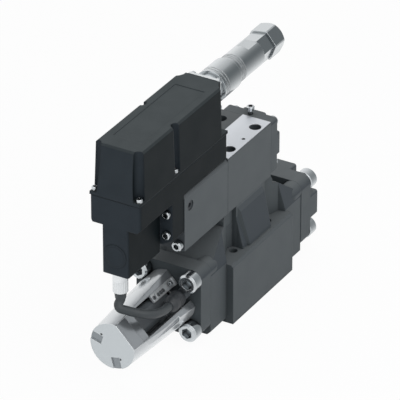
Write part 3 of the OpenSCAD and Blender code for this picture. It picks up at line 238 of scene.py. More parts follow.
class Tree:
    """The node tree of a material or of the world."""

    def __init__(self, tree: bpy.types.NodeTree) -> None:
        """Take the tree and empty it.

        Args:
            tree: The tree, with the nodes that a new one comes with.
        """
        self.nodes = tree.nodes
        self.links = tree.links
        self.nodes.clear()

    def add(
        self,
        kind: str,
        settings: Optional[dict[str, Any]] = None,
        inputs: Optional[dict[Any, Any]] = None,
    ) -> bpy.types.Node:
        """Add a node.

        Args:
            kind: Type of the node.
            settings: Properties that are set before the sockets.
            inputs: Numbers, colours, sockets or values by socket name or number.

        Returns:
            The new node.
        """
        node = self.nodes.new(kind)
        for key, setting in (settings or {}).items():
            setattr(node, key, setting)
        for key, entry in (inputs or {}).items():
            self.feed(node.inputs[key], entry)
        return node

    def feed(self, socket: bpy.types.NodeSocket, entry: Any) -> None:
        """Link a value or a socket to an input, or set a plain number or colour there.

        Args:
            socket: The input.
            entry: What goes into it.
        """
        if isinstance(entry, Value):
            entry = entry.socket
        if isinstance(entry, bpy.types.NodeSocket):
            self.links.new(entry, socket)
        elif isinstance(entry, tuple) and len(entry) == 3 and socket.type == "RGBA":
            socket.default_value = (*entry, 1.0)
        else:
            socket.default_value = entry

    def value(
        self, kind: str, settings: dict[str, Any], inputs: dict[Any, Any], output: Any = 0
    ) -> Value:
        """Add a node and return one of its outputs as a value."""
        return Value(self, self.add(kind, settings, inputs).outputs[output])

    def blend(
        self, factor: Value, first: bpy.types.Node, second: bpy.types.Node
    ) -> bpy.types.NodeSocket:
        """Return the blend of two shaders."""
        shaders = {0: factor, 1: first.outputs[0], 2: second.outputs[0]}
        return self.add("ShaderNodeMixShader", inputs=shaders).outputs[0]

    def seen_directly(self) -> Value:
        """Return 1 for camera, glossy and transmission rays, and 0 for the others.

        Returns:
            The mask.
        """
        path = self.add("ShaderNodeLightPath")
        camera, glossy, clear = (Value(self, path.outputs[kind]) for kind in SEEN_RAYS)
        return camera.at_least(glossy).at_least(clear)


class Graph(Tree):
    """The node graph of one material."""

    def __init__(self, name: str) -> None:
        """Start a material with a Principled shader.

        Args:
            name: Name of the material.
        """
        self.material = bpy.data.materials.new(name)
        self.material.use_nodes = True
        super().__init__(self.material.node_tree)
        self.place = self.add("ShaderNodeTexCoord").outputs["Object"]
        self.shader = self.add("ShaderNodeBsdfPrincipled")
        self.out = self.add(
            "ShaderNodeOutputMaterial", inputs={"Surface": self.shader.outputs[0]}
        )

    def finish(self, inputs: dict[str, Any]) -> bpy.types.Material:
        """Feed the shader's sockets and return the material.

        Args:
            inputs: What goes into the shader, by socket name.

        Returns:
            The material.
        """
        for name, entry in inputs.items():
            self.feed(self.shader.inputs[name], entry)
        return self.material

    def noise(self, size: float, stretch: Point = (1, 1, 1)) -> Value:
        """Return noise on Object coordinates.

        Args:
            size: Size of its grains in metres.
            stretch: Factor on each axis, above 1 for finer grains on it.

        Returns:
            Noise from about 0 to 1.
        """
        place = self.add("ShaderNodeMapping", inputs={"Vector": self.place, "Scale": stretch})
        inputs = {"Vector": place.outputs[0], "Scale": 1 / size, "Detail": NOISE_DETAIL}
        return self.value("ShaderNodeTexNoise", {}, inputs, "Fac")

    def mix(self, factor: Operand, first: Any, second: Any) -> bpy.types.NodeSocket:
        """Return the blend of two colours, which a Mix node holds at its sockets 6, 7 and 2."""
        inputs = {0: factor, 6: first, 7: second}
        return self.add("ShaderNodeMix", {"data_type": "RGBA"}, inputs).outputs[2]

    def softened(self, radius: float) -> bpy.types.NodeSocket:
        """Return a normal that rounds every edge of the piece by that radius."""
        settings = {"samples": MASK_SAMPLES}
        return self.add("ShaderNodeBevel", settings, {"Radius": radius}).outputs[0]

    def bump(
        self,
        height: Value,
        depth: float,
        strength: float = 0.5,
        normal: Optional[bpy.types.NodeSocket] = None,
    ) -> bpy.types.NodeSocket:
        """Return a normal that follows a relief.

        Args:
            height: The relief from 0 to 1.
            depth: Height of the relief in metres.
            strength: How strongly it shows.
            normal: The normal that it starts from, or none for the mesh's own.

        Returns:
            The normal.
        """
        inputs = {"Strength": strength, "Distance": depth, "Height": height}
        if normal is not None:
            inputs["Normal"] = normal
        return self.add("ShaderNodeBump", inputs=inputs).outputs[0]

    def agreement(self, normal: str, other: Any) -> Value:
        """Compare a normal with another way.

        Args:
            normal: The output of the Geometry node that gives the normal.
            other: The other way, as a unit vector or a socket.

        Returns:
            1 where they agree, 0 where they are square, and -1 where they are opposite.
        """
        own = self.add("ShaderNodeNewGeometry").outputs[normal]
        settings = {"operation": "DOT_PRODUCT"}
        return self.value("ShaderNodeVectorMath", settings, {0: own, 1: other}, "Value")

    def edges(self, normal: bpy.types.NodeSocket) -> Value:
        """Return a mask that is near 1 on the rounding of an edge and 0 on the faces."""
        return ((1.0 - self.agreement("True Normal", normal)) * EDGE_GAIN).at_most(1.0)

    def facing(self, way: Point, normal: str = "True Normal") -> Value:
        """Return how squarely a face looks a fixed way of the object.

        Args:
            way: The way, as a direction of the object's own frame.
            normal: The output of the Geometry node to test, "Normal" for round forms.

        Returns:
            1 on a face that looks that way, down to 0 on one square to it or turned away.
        """
        return self.agreement(normal, tuple(Vector(way).normalized())).at_least(0.0)

    def shaded(self, colour: bpy.types.NodeSocket, strength: float) -> bpy.types.NodeSocket:
        """Return a colour with painted shade in holes and corners.

        Args:
            colour: The colour on open faces.
            strength: How dark the painted shade is in the depth of a hole, from 0 to 1.

        Returns:
            The colour with its painted shade.
        """
        settings = {"samples": MASK_SAMPLES}
        inputs = {"Distance": RECESS_REACH}
        open_share = self.value("ShaderNodeAmbientOcclusion", settings, inputs, "AO")
        mask = ((RECESS_OPEN - open_share) * RECESS_GAIN).at_least(0.0).at_most(1.0)
        return self.mix(mask * strength, colour, RECESS_SHADE)

    def within(self, axis: str, low: float, high: float) -> Value:
        """Return a mask of a stretch of the object.

        Args:
            axis: The coordinate that is tested, X, Y or Z.
            low: Where the stretch starts.
            high: Where it ends.

        Returns:
            1 where the coordinate lies in the stretch, and 0 elsewhere.
        """
        along = self.value("ShaderNodeSeparateXYZ", {}, {0: self.place}, axis)
        above = self.value("ShaderNodeMath", {"operation": "GREATER_THAN"}, {0: along, 1: low})
        below = self.value("ShaderNodeMath", {"operation": "LESS_THAN"}, {0: along, 1: high})
        return above * below


# Finishes


@dataclass(frozen=True)
class Finish:
    """The finish of a surface.

    Args:
        name: Name of the material.
        colour: Its main colour.
    """

    name: str
    colour: Colour

    def sockets(self, graph: Graph) -> dict[str, Any]:
        """Build the nodes of the finish.

        Args:
            graph: The graph of its material.

        Returns:
            What goes into the shader, by socket name.
        """
        raise NotImplementedError

    def material(self) -> bpy.types.Material:
        """Build the material of the finish and return it."""
        graph = Graph(self.name)
        return graph.finish(self.sockets(graph))


@dataclass(frozen=True)
class Paint(Finish):
    """Satin paint or powder coat over a casting.

    Args:
        name: Name of the material.
        colour: Colour of the upright sides.
        top: Colour of the faces that look up, painted lighter for the light that falls on them from
            above.
        front: Colour of the faces at the sensor end, painted with the light and shade that they
            take.
        lean: Colour of the sloping faces, painted with the light and shade that they take.
        edge_shading: Colour on the edges, the painted shading of their rounding.
        roughness: Mean roughness.
        grain: Size of the paint's texture in metres.
        relief: Height of the texture in metres.
        edge: Radius of the softened edges in metres.
        gloss: Specular level.
        recess: How strong the painted shade in holes and corners is, from 0 to 1.
        machined: Colour of the bare face on the mounting plane, or none where there is none.
        patch: Size of the dull patches in metres.
        dull_start: Level of the patches' noise above which they show.
        dull_share: How strongly the patches show.
        dull_tone: Colour of the patches over that of the sides.
        edge_shading_share: How far every edge shows the painted edge shading.
        edge_shading_grain: How much more the grain adds to that.
        spread: How far the roughness swings from patch to patch.
    """

    top: Colour
    front: Colour
    lean: Colour
    edge_shading: Colour
    roughness: float = 0.5
    grain: float = 0.7 * MM
    relief: float = 0.03 * MM
    edge: float = 0.6 * MM
    gloss: float = 0.3
    recess: float = 0.4
    machined: Optional[Colour] = None
    patch: float = 18 * MM
    dull_start: float = 0.4
    dull_share: float = 0.4
    dull_tone: float = 0.82
    edge_shading_share: float = 0.35
    edge_shading_grain: float = 0.5
    spread: float = 0.14

    def sockets(self, graph: Graph) -> dict[str, Any]:
        """Build the nodes of the finish.

        Args:
            graph: The graph of its material.

        Returns:
            What goes into the shader, by socket name.
        """
        normal = graph.softened(self.edge)
        grain = graph.noise(self.grain)
        cloud = graph.noise(self.patch)
        # Painted light and shade by the way each face looks: tops, front faces and slopes take
        # colours of their own
        up = graph.facing(UP)
        forward = graph.facing(FORWARD)
        faces = graph.mix(up, graph.mix(forward, self.colour, self.front), self.top)
        slope = (up * SLOPE_GAIN).at_most(1.0) * (1.0 - up) * (1.0 - forward)
        sloping = graph.mix(slope, faces, self.lean)
        tone = tuple(self.dull_tone * part for part in self.colour)
        dull = graph.mix((cloud - self.dull_start) * self.dull_share, sloping, tone)
        # Painted shading along the rounded edges, broken up by the grain
        edge_shading_share = graph.edges(normal) * (grain * self.edge_shading_grain + self.edge_shading_share)
        coat = graph.mix(edge_shading_share, dull, self.edge_shading)
        if self.machined:
            under = graph.within("Z", -FACE_DEPTH, FACE_DEPTH) * graph.facing(DOWN) ** FACE_POWER
            coat = graph.mix(under, coat, self.machined)
        return {
            # Painted shade in holes and corners
            "Base Color": graph.shaded(coat, self.recess),
            "Roughness": self.roughness + cloud.swing(self.spread),
            "Normal": graph.bump(grain, self.relief, strength=0.6, normal=normal),
            "Specular IOR Level": self.gloss,
        }


@dataclass(frozen=True)
class Metal(Finish):
    """Bare metal with the fine marks of its last tool.

    Args:
        name: Name of the material.
        colour: Colour of the clean metal.
        stain: Colour of its duller patches.
        dark: Colour of the painted dark reflection bands on round forms.
        roughness: Mean roughness.
        lay: How the tool marks run.
        relief: Depth of the marks in metres.
        edge: Radius of the softened edges in metres.
        metallic: How much of it reflects as metal.
        end: Colour painted on the faces that look to the front for the light that they take, or
            none where it doesn't differ.
        glint: How strongly the painted highlight along the edges shows, from 0 to 1.
        recess: How strong the painted shade in holes and corners is, from 0 to 1.
        crown: How dark the painted reflection band along the crown of a round form is, from 0 to 1.
        notch: Range of X in which faces that look to the front lie in a shallow notch and take its
            painted shade, or none.
        mark: Size of the tool marks in metres, before their lay draws them out.
        patch: Size of the duller patches in metres.
        stain_start: Level of the noise above which the stain shows.
        stain_share: How strongly the stain shows.
        patch_share: How far the stain follows the patches, the rest of it the marks.
        mark_spread: How far the roughness swings with the marks.
        patch_spread: How far it swings with the patches.
        smoothest: The least roughness.
    """

    stain: Colour
    dark: Colour
    roughness: float = 0.25
    lay: Lay = Lay.EVEN
    relief: float = 0.01 * MM
    edge: float = 0.4 * MM
    metallic: float = 1.0
    end: Optional[Colour] = None
    glint: float = 0.5
    recess: float = 1.0
    crown: float = 0.0
    notch: Optional[tuple[float, float]] = None
    mark: float = 6 * MM
    patch: float = 9 * MM
    stain_start: float = 0.3
    stain_share: float = 0.5
    patch_share: float = 0.6
    mark_spread: float = 0.16
    patch_spread: float = 0.1
    smoothest: float = 0.05

    def sockets(self, graph: Graph) -> dict[str, Any]:
        """Build the nodes of the finish.

        Args:
            graph: The graph of its material.

        Returns:
            What goes into the shader, by socket name.
        """
        normal = graph.softened(self.edge)
        marks = graph.noise(self.mark, self.lay.value)
        cloud = graph.noise(self.patch)
        blotch = cloud * self.patch_share + marks * (1 - self.patch_share) - self.stain_start
        clean = graph.mix(blotch * self.stain_share, self.colour, self.stain)
        # Painted reflection: dark bands on round forms, near and far, and along the crown
        near = graph.facing(NEAR_BAND, "Normal") ** BAND_POWER
        far = graph.facing(FAR_BAND, "Normal") ** BAND_POWER
        crown = graph.facing(CROWN, "Normal") ** CROWN_POWER
        bands = (near + far * FAR_BAND_SHARE + crown * self.crown).at_most(1.0)
        banded = graph.mix(bands, clean, self.dark)
        # Painted light and shade of the faces that look to the front
        squarely = graph.facing(FORWARD) ** FACE_POWER
        faces = graph.mix(squarely, banded, self.end) if self.end else banded
        # Painted highlight along the edges
        shining = graph.mix(graph.edges(normal) * self.glint, faces, GLINT)
        # Painted shade in holes and corners
        colour = graph.shaded(shining, self.recess)
        # Painted shade on the floor of the notches
        if self.notch:
            colour = graph.mix(graph.within("X", *self.notch) * squarely, colour, NOTCH_SHADE)
        rough = self.roughness + marks.swing(self.mark_spread) + cloud.swing(self.patch_spread)
        return {
            "Base Color": colour,
            "Metallic": self.metallic,
            "Roughness": rough.at_least(self.smoothest),
            "Normal": graph.bump(marks, self.relief, normal=normal),
        }


@dataclass(frozen=True)
class Moulding(Finish):
    """Moulded rubber or plastic with a fine even skin.

    Args:
        name: Name of the material.
        colour: Colour of the skin.
        pale: Colour where it has been rubbed.
        roughness: Mean roughness.
        grain: Size of the skin's texture in metres.
        relief: Height of the texture in metres.
        edge: Radius of the softened edges in metres.
        patch: Size of the rubbed patches in metres.
        patch_share: How strongly the patches show.
        edge_share: How strongly the edges show as rubbed.
        rub_start: Level of the two together above which they show.
        spread: How far the roughness swings with the texture.
    """

    pale: Colour
    roughness: float = 0.55
    grain: float = 0.4 * MM
    relief: float = 0.02 * MM
    edge: float = 0.3 * MM
    patch: float = 7 * MM
    patch_share: float = 0.7
    edge_share: float = 0.4
    rub_start: float = 0.2
    spread: float = 0.12

    def sockets(self, graph: Graph) -> dict[str, Any]:
        """Build the nodes of the finish.

        Args:
            graph: The graph of its material.

        Returns:
            What goes into the shader, by socket name.
        """
        normal = graph.softened(self.edge)
        grain = graph.noise(self.grain)
        patches = graph.noise(self.patch) * self.patch_share
        rubbed = patches + graph.edges(normal) * self.edge_share - self.rub_start
        return {
            "Base Color": graph.mix(rubbed, self.colour, self.pale),
            "Roughness": self.roughness + grain.swing(self.spread),
            "Normal": graph.bump(grain, self.relief, normal=normal),
        }


@dataclass(frozen=True)
class Winding(Finish):
    """Enamelled wire wound side by side round the X axis.

    Args:
        name: Name of the material.
        colour: Colour of a turn.
        between: Colour of the gaps between turns.
        pitch: Distance of two turns in metres.
        relief: Depth of a gap over the pitch.
        roughness: Roughness in the gaps.
        shine: How much smoother the turns are.
        metallic: How much of it reflects as metal.
    """

    between: Colour
    pitch: float = 0.4 * MM
    relief: float = 1 / 3
    roughness: float = 0.5
    shine: float = 0.2
    metallic: float = 0.7

    def sockets(self, graph: Graph) -> dict[str, Any]:
        """Build the nodes of the finish.

        Args:
            graph: The graph of its material.

        Returns:
            What goes into the shader, by socket name.
        """
        settings = {"wave_type": "BANDS", "bands_direction": "X"}
        inputs = {"Vector": graph.place, "Scale": 1 / self.pitch / WAVE_BANDS}
        turns = graph.value("ShaderNodeTexWave", settings, inputs, "Fac")
        return {
            "Base Color": graph.mix(turns, self.between, self.colour),
            "Roughness": self.roughness - turns * self.shine,
            "Metallic": self.metallic,
            "Normal": graph.bump(turns, self.pitch * self.relief, strength=0.8),
        }


CASTING = Paint(
    "painted casting",
    colour=srgb(86, 92, 95),
    top=srgb(101, 106, 108),
    front=srgb(68, 74, 77),
    lean=srgb(53, 60, 67),
    edge_shading=srgb(74, 80, 83),
    roughness=0.6,
    grain=0.8 * MM,
    relief=0.04 * MM,
    edge=1.1 * MM,
    gloss=0.2,
    recess=0.32,
)
MACHINED_CASTING = replace(
    CASTING, name="casting with machined face", machined=srgb(158, 162, 165)
)
MACHINED_PAINT = Paint(
    "painted block",
    colour=srgb(86, 92, 95),
    top=srgb(98, 102, 104),
    front=srgb(69, 74, 78),
    lean=srgb(78, 84, 88),
    edge_shading=srgb(84, 89, 92),
    roughness=0.55,
    grain=0.6 * MM,
    relief=0.02 * MM,
    edge=0.4 * MM,
    gloss=0.2,
)
BOX_COAT = Paint(
    "charcoal powder coat",
    colour=srgb(17, 24, 27),
    top=srgb(70, 76, 78),
    front=srgb(53, 60, 66),
    lean=srgb(34, 40, 43),
    edge_shading=srgb(54, 60, 64),
    roughness=0.55,
    grain=0.5 * MM,
    relief=0.02 * MM,
    edge=1.6 * MM,
    gloss=0.08,
    recess=0.14,
)
SCREW_ZINC = Metal(
    "bright zinc",
    srgb(206, 210, 213),
    srgb(180, 185, 188),
    srgb(120, 126, 129),
    0.22,
    Lay.ROUND_X,
    end=srgb(194, 199, 202),
)
SMALL_ZINC = Metal(
    "bright zinc upright",
    srgb(206, 210, 213),
    srgb(176, 181, 185),
    srgb(126, 131, 135),
    0.25,
    Lay.ROUND_Z,
)
GROUND_STEEL = Metal(
    "ground steel",
    srgb(190, 192, 196),
    srgb(160, 163, 168),
    srgb(120, 123, 128),
    0.16,
    Lay.ROUND_X,
)
SPRING_STEEL = Metal(
    "spring wire", srgb(120, 122, 128), srgb(88, 90, 96), srgb(80, 82, 88), 0.35, glint=0.1
)
BRIGHT_CAST = Metal(
    "bright aluminium",
    srgb(233, 236, 238),
    srgb(215, 220, 223),
    srgb(140, 145, 149),
    0.2,
    Lay.ALONG_X,
    edge=0.7 * MM,
    metallic=0.62,
    end=srgb(204, 210, 213),
    glint=0.9,
    recess=0.25,
    crown=0.55,
)
BARE_PLATE = Metal(
    "bare plate",
    srgb(220, 223, 228),
    srgb(208, 212, 217),
    srgb(150, 154, 160),
    0.42,
    Lay.ALONG_X,
)
NICKEL = Metal(
    "satin nickel",
    srgb(214, 218, 220),
    srgb(186, 191, 194),
    srgb(92, 98, 101),
    0.2,
    Lay.ROUND_X,
    recess=0.6,
)
BRIGHT_NUT = replace(
    NICKEL, name="bright nickel", colour=srgb(232, 235, 237), dark=srgb(150, 155, 158), recess=0.3
)
TERMINAL_PLATE = Metal(
    "tinned plate",
    srgb(200, 204, 207),
    srgb(178, 182, 186),
    srgb(192, 196, 199),
    0.3,
    Lay.ALONG_X,
    metallic=0.2,
    recess=0.15,
)
TERMINAL_SCREW = Metal(
    "terminal screw", srgb(96, 100, 104), srgb(74, 78, 82), srgb(62, 66, 70), 0.3, recess=0.6
)
MAGNET = Metal(
    "sintered magnet", srgb(110, 112, 116), srgb(90, 92, 96), srgb(70, 72, 76), 0.4, glint=0.1
)
BRASS = Metal(
    "pin brass",
    srgb(205, 175, 110),
    srgb(170, 140, 85),
    srgb(120, 96, 56),
    0.22,
    Lay.ALONG_X,
    glint=0.2,
)
COPPER = Winding("copper winding", srgb(196, 120, 70), srgb(84, 42, 24))
BLACK_PLUG = Moulding("black cap", srgb(44, 49, 54), srgb(66, 71, 76))
BLACK_PLASTIC = Moulding("black plastic", srgb(90, 95, 99), srgb(108, 113, 117), roughness=0.45)
CABLE_RUBBER = Moulding("cable jacket", srgb(52, 58, 61), srgb(67, 73, 77), roughness=0.5)
PLUG_RUBBER = Moulding("moulded plug", srgb(40, 44, 48), srgb(54, 59, 63), roughness=0.5)
BOX_SEAL = Moulding("box gasket", srgb(48, 53, 57), srgb(56, 61, 65), roughness=0.7)
SEAL_RUBBER = Moulding("seal rubber", srgb(30, 31, 33), srgb(42, 43, 45), roughness=0.7)
BOARD = Moulding("circuit board", srgb(28, 88, 54), srgb(40, 110, 70), roughness=0.35)


class Shelf:
    """Builds each finish once, the first time that a piece asks for it."""

    def __init__(self) -> None:
        """Start with nothing built."""
        self.built: dict[Finish, bpy.types.Material] = {}

    def take(self, finish: Finish) -> bpy.types.Material:
        """Return the material of a finish.

        Args:
            finish: The finish.

        Returns:
            Its material.
        """
        if finish not in self.built:
            self.built[finish] = finish.material()
        return self.built[finish]


SHELF = Shelf()


def dress(obj: bpy.types.Object, finish: Finish) -> bpy.types.Object:
    """Give a piece or a CAD node its finish.

    Args:
        obj: The piece or node.
        finish: Its finish.

    Returns:
        The same object.
    """
    obj.data.materials.clear()
    obj.data.materials.append(SHELF.take(finish))
    return obj


# Mesh tools


def new_object(name: str, data: bpy.types.ID) -> bpy.types.Object:
    """Make an object of that data in the scene.

    Args:
        name: Name of the object.
        data: Its mesh, curve, camera or light.

    Returns:
        The object, at the origin.
    """
    obj = bpy.data.objects.new(name, data)
    bpy.context.scene.collection.objects.link(obj)
    return obj


def link_mesh(mesh: bmesh.types.BMesh, name: str) -> bpy.types.Object:
    """Make an object of a finished mesh.

    Args:
        mesh: The mesh, which is freed.
        name: Name of the object and of its mesh.

    Returns:
        The object, at the origin.
    """
    data = bpy.data.meshes.new(name)
    mesh.to_mesh(data)
    mesh.free()
    data.shade_smooth()
    data.set_sharp_from_angle(angle=SMOOTH_ANGLE)
    return new_object(name, data)


def add_part(mesh: bmesh.types.BMesh, part: bmesh.types.BMesh, matrix: Matrix) -> None:
    """Add a finished form to a mesh.

    Args:
        mesh: The mesh that takes it.
        part: The form, which is freed.
        matrix: Where the form goes.
    """
    bmesh.ops.recalc_face_normals(part, faces=part.faces)
    bmesh.ops.transform(part, matrix=matrix, verts=part.verts)
    data = bpy.data.meshes.new("part")
    part.to_mesh(data)
    part.free()
    mesh.from_mesh(data)
    bpy.data.meshes.remove(data)


def add_block(
    mesh: bmesh.types.BMesh, low: Point, high: Point, bevel: float, top_slope: float = 0.0
) -> None:
    """Add a block with rounded edges.

    Args:
        mesh: The mesh that takes it.
        low: Its lowest corner in metres.
        high: Its highest corner in metres.
        bevel: Radius of its edges.
        top_slope: How far its top drops at its low X end.
    """
    size = Vector(high) - Vector(low)
    middle = (Vector(high) + Vector(low)) / 2
    matrix = Matrix.Translation(middle) @ Matrix.Diagonal((*size, 1.0))
    verts = bmesh.ops.create_cube(mesh, size=1.0, matrix=matrix)["verts"]
    for vert in verts:
        if vert.co.z > middle.z and vert.co.x < middle.x:
            vert.co.z -= top_slope
    bmesh.ops.bevel(
        mesh,
        geom=list({edge for vert in verts for edge in vert.link_edges}),
        offset=bevel,
        offset_type="OFFSET",
        affect="EDGES",
        segments=2,
        profile=0.5,
        material=-1,
        clamp_overlap=True,
    )


def add_turned(
    mesh: bmesh.types.BMesh,
    outline: Iterable[tuple[float, float]],
    matrix: Matrix,
    segments: int = 48,
) -> None:
    """Add a form turned about Z and put in its place.

    Args:
        mesh: The mesh that takes it.
        outline: Height and radius of each point of the outline, from one end to the other.
        matrix: Where the turned form goes.
        segments: Steps round the axis.
    """
    part = bmesh.new()
    verts = [part.verts.new((radius, 0, height)) for height, radius in outline]
    edges = [part.edges.new(pair) for pair in zip(verts, verts[1:])]
    bmesh.ops.spin(
        part,
        geom=verts + edges,
        cent=(0, 0, 0),
        axis=(0, 0, 1),
        angle=2 * pi,
        steps=segments,
        use_merge=True,
    )
    bmesh.ops.remove_doubles(part, verts=part.verts, dist=MERGE_DISTANCE)
    add_part(mesh, part, matrix)


def solid_boxes(node: bpy.types.Object) -> list[tuple[Vector, Vector]]:
    """Find the box of each separate solid of a CAD node.

    Args:
        node: The CAD node.

    Returns:
        The lowest and highest corner of each solid, in the order of their places.
    """
    mesh = bmesh.new()
    mesh.from_mesh(node.data)
    bmesh.ops.remove_doubles(mesh, verts=mesh.verts, dist=MERGE_DISTANCE)
    left = set(mesh.verts)
    boxes = []
    while left:
        reached = [left.pop()]
        members = []
        while reached:
            vert = reached.pop()
            members.append(vert.co.copy())
            for edge in vert.link_edges:
                other = edge.other_vert(vert)
                if other in left:
                    left.discard(other)
                    reached.append(other)
        low, high = ([limit(places) for places in zip(*members)] for limit in (min, max))
        boxes.append((Vector(low), Vector(high)))
    mesh.free()
    return sorted(boxes, key=lambda box: tuple(box[0]))


def stand_in(piece: bpy.types.Object, node: Optional[str] = None) -> None:
    """Let a piece ride on the valve.

    Args:
        piece: The piece.
        node: The CAD node that it replaces, or none.
    """
    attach(piece, Body.VALVE.value)
    if node:
        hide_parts(node)


# Screws and springs


class Pointing(Enum):
    """The way that the head of a screw looks, as the axis and its sign."""

    FRONT = (0, -1)
    REAR = (0, 1)
    UP = (2, 1)

    @property
    def matrix(self) -> Matrix:
        """Return the turn that brings +Z to this way."""
        axis, sign = self.value
        return Matrix.Identity(4) if axis == 2 else Matrix.Rotation(sign * pi / 2, 4, "Y")


@dataclass(frozen=True)
class ScrewForm:
    """Proportions of a socket head screw.

    Args:
        head: Width of the head over its height.
        shank: Width of the shank over that of the head.
        socket: Width of the socket across its flats over that of the head.
        mouth: Width of the round mouth over that of the socket.
        lead: Width of the slope from the mouth to the socket over that of the socket.
        depth: Depth of the socket over the height of the head.
        chamfer: Height of the head's chamfer over the width of the head.
        tip: Width of the shank's tip over that of the shank.
    """

    head: float
    shank: float
    socket: float = 0.52
    mouth: float = 1.3
    lead: float = 0.04
    depth: float = 0.55
    chamfer: float = 0.09
    tip: float = 0.8


CAP_SCREW = ScrewForm(1.6, 0.62)
PILOT_SCREW = ScrewForm(1.7, 0.59)
COVER_SCREW = ScrewForm(5 / 3, 3 / 5)
FLANGE_SCREW = ScrewForm(7 / 4, 4 / 7)
RECEPTACLE_SCREW = ScrewForm(5.5 / 3, 3 / 5.5)


@dataclass
class SocketScrews:
    """Socket head screws that stand for the plain ones of a CAD node.

    Args:
        node: Name of the CAD node, whose solids give places and sizes.
        pointing: The way that the heads look.
        form: Proportions of the screws.
        finish: Finish of the screws.
        segments: Sides of the round forms.
    """

    node: str
    pointing: Pointing
    form: ScrewForm
    finish: Finish = SCREW_ZINC
    segments: int = 48

    def add_screw(self, mesh: bmesh.types.BMesh, low: Vector, high: Vector) -> None:
        """Add one screw that fills the box of a solid.

        Args:
            mesh: The mesh that takes the screw.
            low: Lowest corner of the solid.
            high: Highest corner of the solid.
        """
        axis, sign = self.pointing.value
        across = 1 if axis == 0 else 0
        width = high[across] - low[across]
        head = width / self.form.head
        top = (low + high) / 2
        top[axis] = high[axis] if sign > 0 else low[axis]
        part = bmesh.new()
        bmesh.ops.create_circle(part, cap_ends=True, segments=self.segments, radius=width / 2)
        self.sink_socket(part, part.faces[:][0], width, head)
        self.draw_down(part, width, head, high[axis] - low[axis])
        add_part(mesh, part, Matrix.Translation(top) @ self.pointing.matrix)

    def sink_socket(
        self, part: bmesh.types.BMesh, face: bmesh.types.BMFace, width: float, head: float
    ) -> None:
        """Sink a hexagonal socket into the end face of a head.

        Args:
            part: The screw's mesh.
            face: Its round end face.
            width: Width of the head.
            head: Height of the head.
        """
        flats = self.form.socket * width
        rim = (width - flats * self.form.mouth) / 2
        for thickness in (rim, flats * self.form.lead):
            bmesh.ops.inset_individual(part, faces=[face], thickness=thickness)
        for vert in face.verts:
            way = vert.co.xy.normalized()
            turn = Vector((1, 0)).angle_signed(way, 0.0)
            vert.co.xy = way * (flats / 2 / cos(turn % (pi / 3) - pi / 6))
        made = bmesh.ops.extrude_discrete_faces(part, faces=[face])["faces"]
        bmesh.ops.translate(part, vec=(0, 0, -self.form.depth * head), verts=made[0].verts)

    def draw_down(
        self, part: bmesh.types.BMesh, width: float, head: float, length: float
    ) -> None:
        """Draw the rim of the end face down into the sides of the head and the shank.

        Args:
            part: The screw's mesh.
            width: Width of the head.
            head: Height of the head.
            length: Length of the whole screw.
        """
        chamfer = self.form.chamfer * width
        shank = self.form.shank
        ring = [edge for edge in part.edges if edge.is_boundary]
        verts = list({vert for edge in ring for vert in edge.verts})
        share = 1 - 2 * chamfer / width
        bmesh.ops.scale(part, vec=(share, share, 1), verts=verts)
        depth = 0.0
        for next_share, next_depth in (
            (1.0, -chamfer),
            (1.0, -head + chamfer / 3),
            (1 - chamfer / width, -head),
            (shank, -head),
            (shank, -length + chamfer),
            (shank * self.form.tip, -length),
        ):
            made = bmesh.ops.extrude_edge_only(part, edges=ring)["geom"]
            verts = [item for item in made if isinstance(item, bmesh.types.BMVert)]
            edges = [item for item in made if isinstance(item, bmesh.types.BMEdge)]
            ring = [edge for edge in edges if edge.is_boundary]
            factor = next_share / share
            bmesh.ops.scale(part, vec=(factor, factor, 1), verts=verts)
            bmesh.ops.translate(part, vec=(0, 0, next_depth - depth), verts=verts)
            share, depth = next_share, next_depth
        bmesh.ops.holes_fill(part, edges=ring, sides=self.segments)

    def build(self, nodes: CadNodes) -> bpy.types.Object:
        """Build every screw of the node in one piece.

        Args:
            nodes: The CAD nodes by name.

        Returns:
            The piece, riding on the valve in place of the node.
        """
        mesh = bmesh.new()
        for low, high in solid_boxes(nodes[self.node]):
            self.add_screw(mesh, low, high)
        piece = dress(link_mesh(mesh, self.node + "_detailed"), self.finish)
        stand_in(piece, self.node)
        return piece


@dataclass
class CoilSpring:
    """A round wire spring between the valve and a spool.

    Args:
        node: Name of the CAD node, whose box gives its place and its width.
        body: The body of its spool; not used.
        moves_high: Whether the moving end is the one with the higher X.
        wire: Diameter of the wire.
        turns: Number of turns.
        wire_sides: Sides of the wire's outline.
        turn_steps: Steps in a turn.
    """

    node: str
    body: Body
    moves_high: bool
    wire: float
    turns: float = 4.5
    wire_sides: int = 12
    turn_steps: int = 36

    def build(self) -> bpy.types.Object:
        """Wind the spring.

        Returns:
            The spring, in place of the CAD one.
        """
        low, high = (Vector(corner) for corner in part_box(self.node))
        middle = (low + high) / 2
        radius = (high.z - low.z - self.wire) / 2
        start = Vector((low.x + self.wire / 2, middle.y, middle.z + radius))
        steps = round(self.turns * self.turn_steps)
        advance = (high.x - low.x - self.wire) / steps
        mesh = bmesh.new()
        bmesh.ops.create_circle(
            mesh,
            cap_ends=True,
            segments=self.wire_sides,
            radius=self.wire / 2,
            matrix=Matrix.Translation(start) @ Matrix.Rotation(pi / 2, 4, "X"),
        )
        bmesh.ops.spin(
            mesh,
            geom=mesh.verts[:] + mesh.edges[:] + mesh.faces[:],
            cent=middle,
            axis=(1, 0, 0),
            dvec=(advance, 0, 0),
            angle=2 * pi * self.turns,
            steps=steps,
            use_merge=False,
        )
        bmesh.ops.recalc_face_normals(mesh, faces=mesh.faces)
        piece = dress(link_mesh(mesh, self.node + "_wound"), SPRING_STEEL)
        ends = [(low.x, middle.y, middle.z), (high.x, middle.y, middle.z)]
        if not self.moves_high:
            ends.reverse()
        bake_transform(piece)
        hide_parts(self.node)
        return piece


# Parts of the position sensor


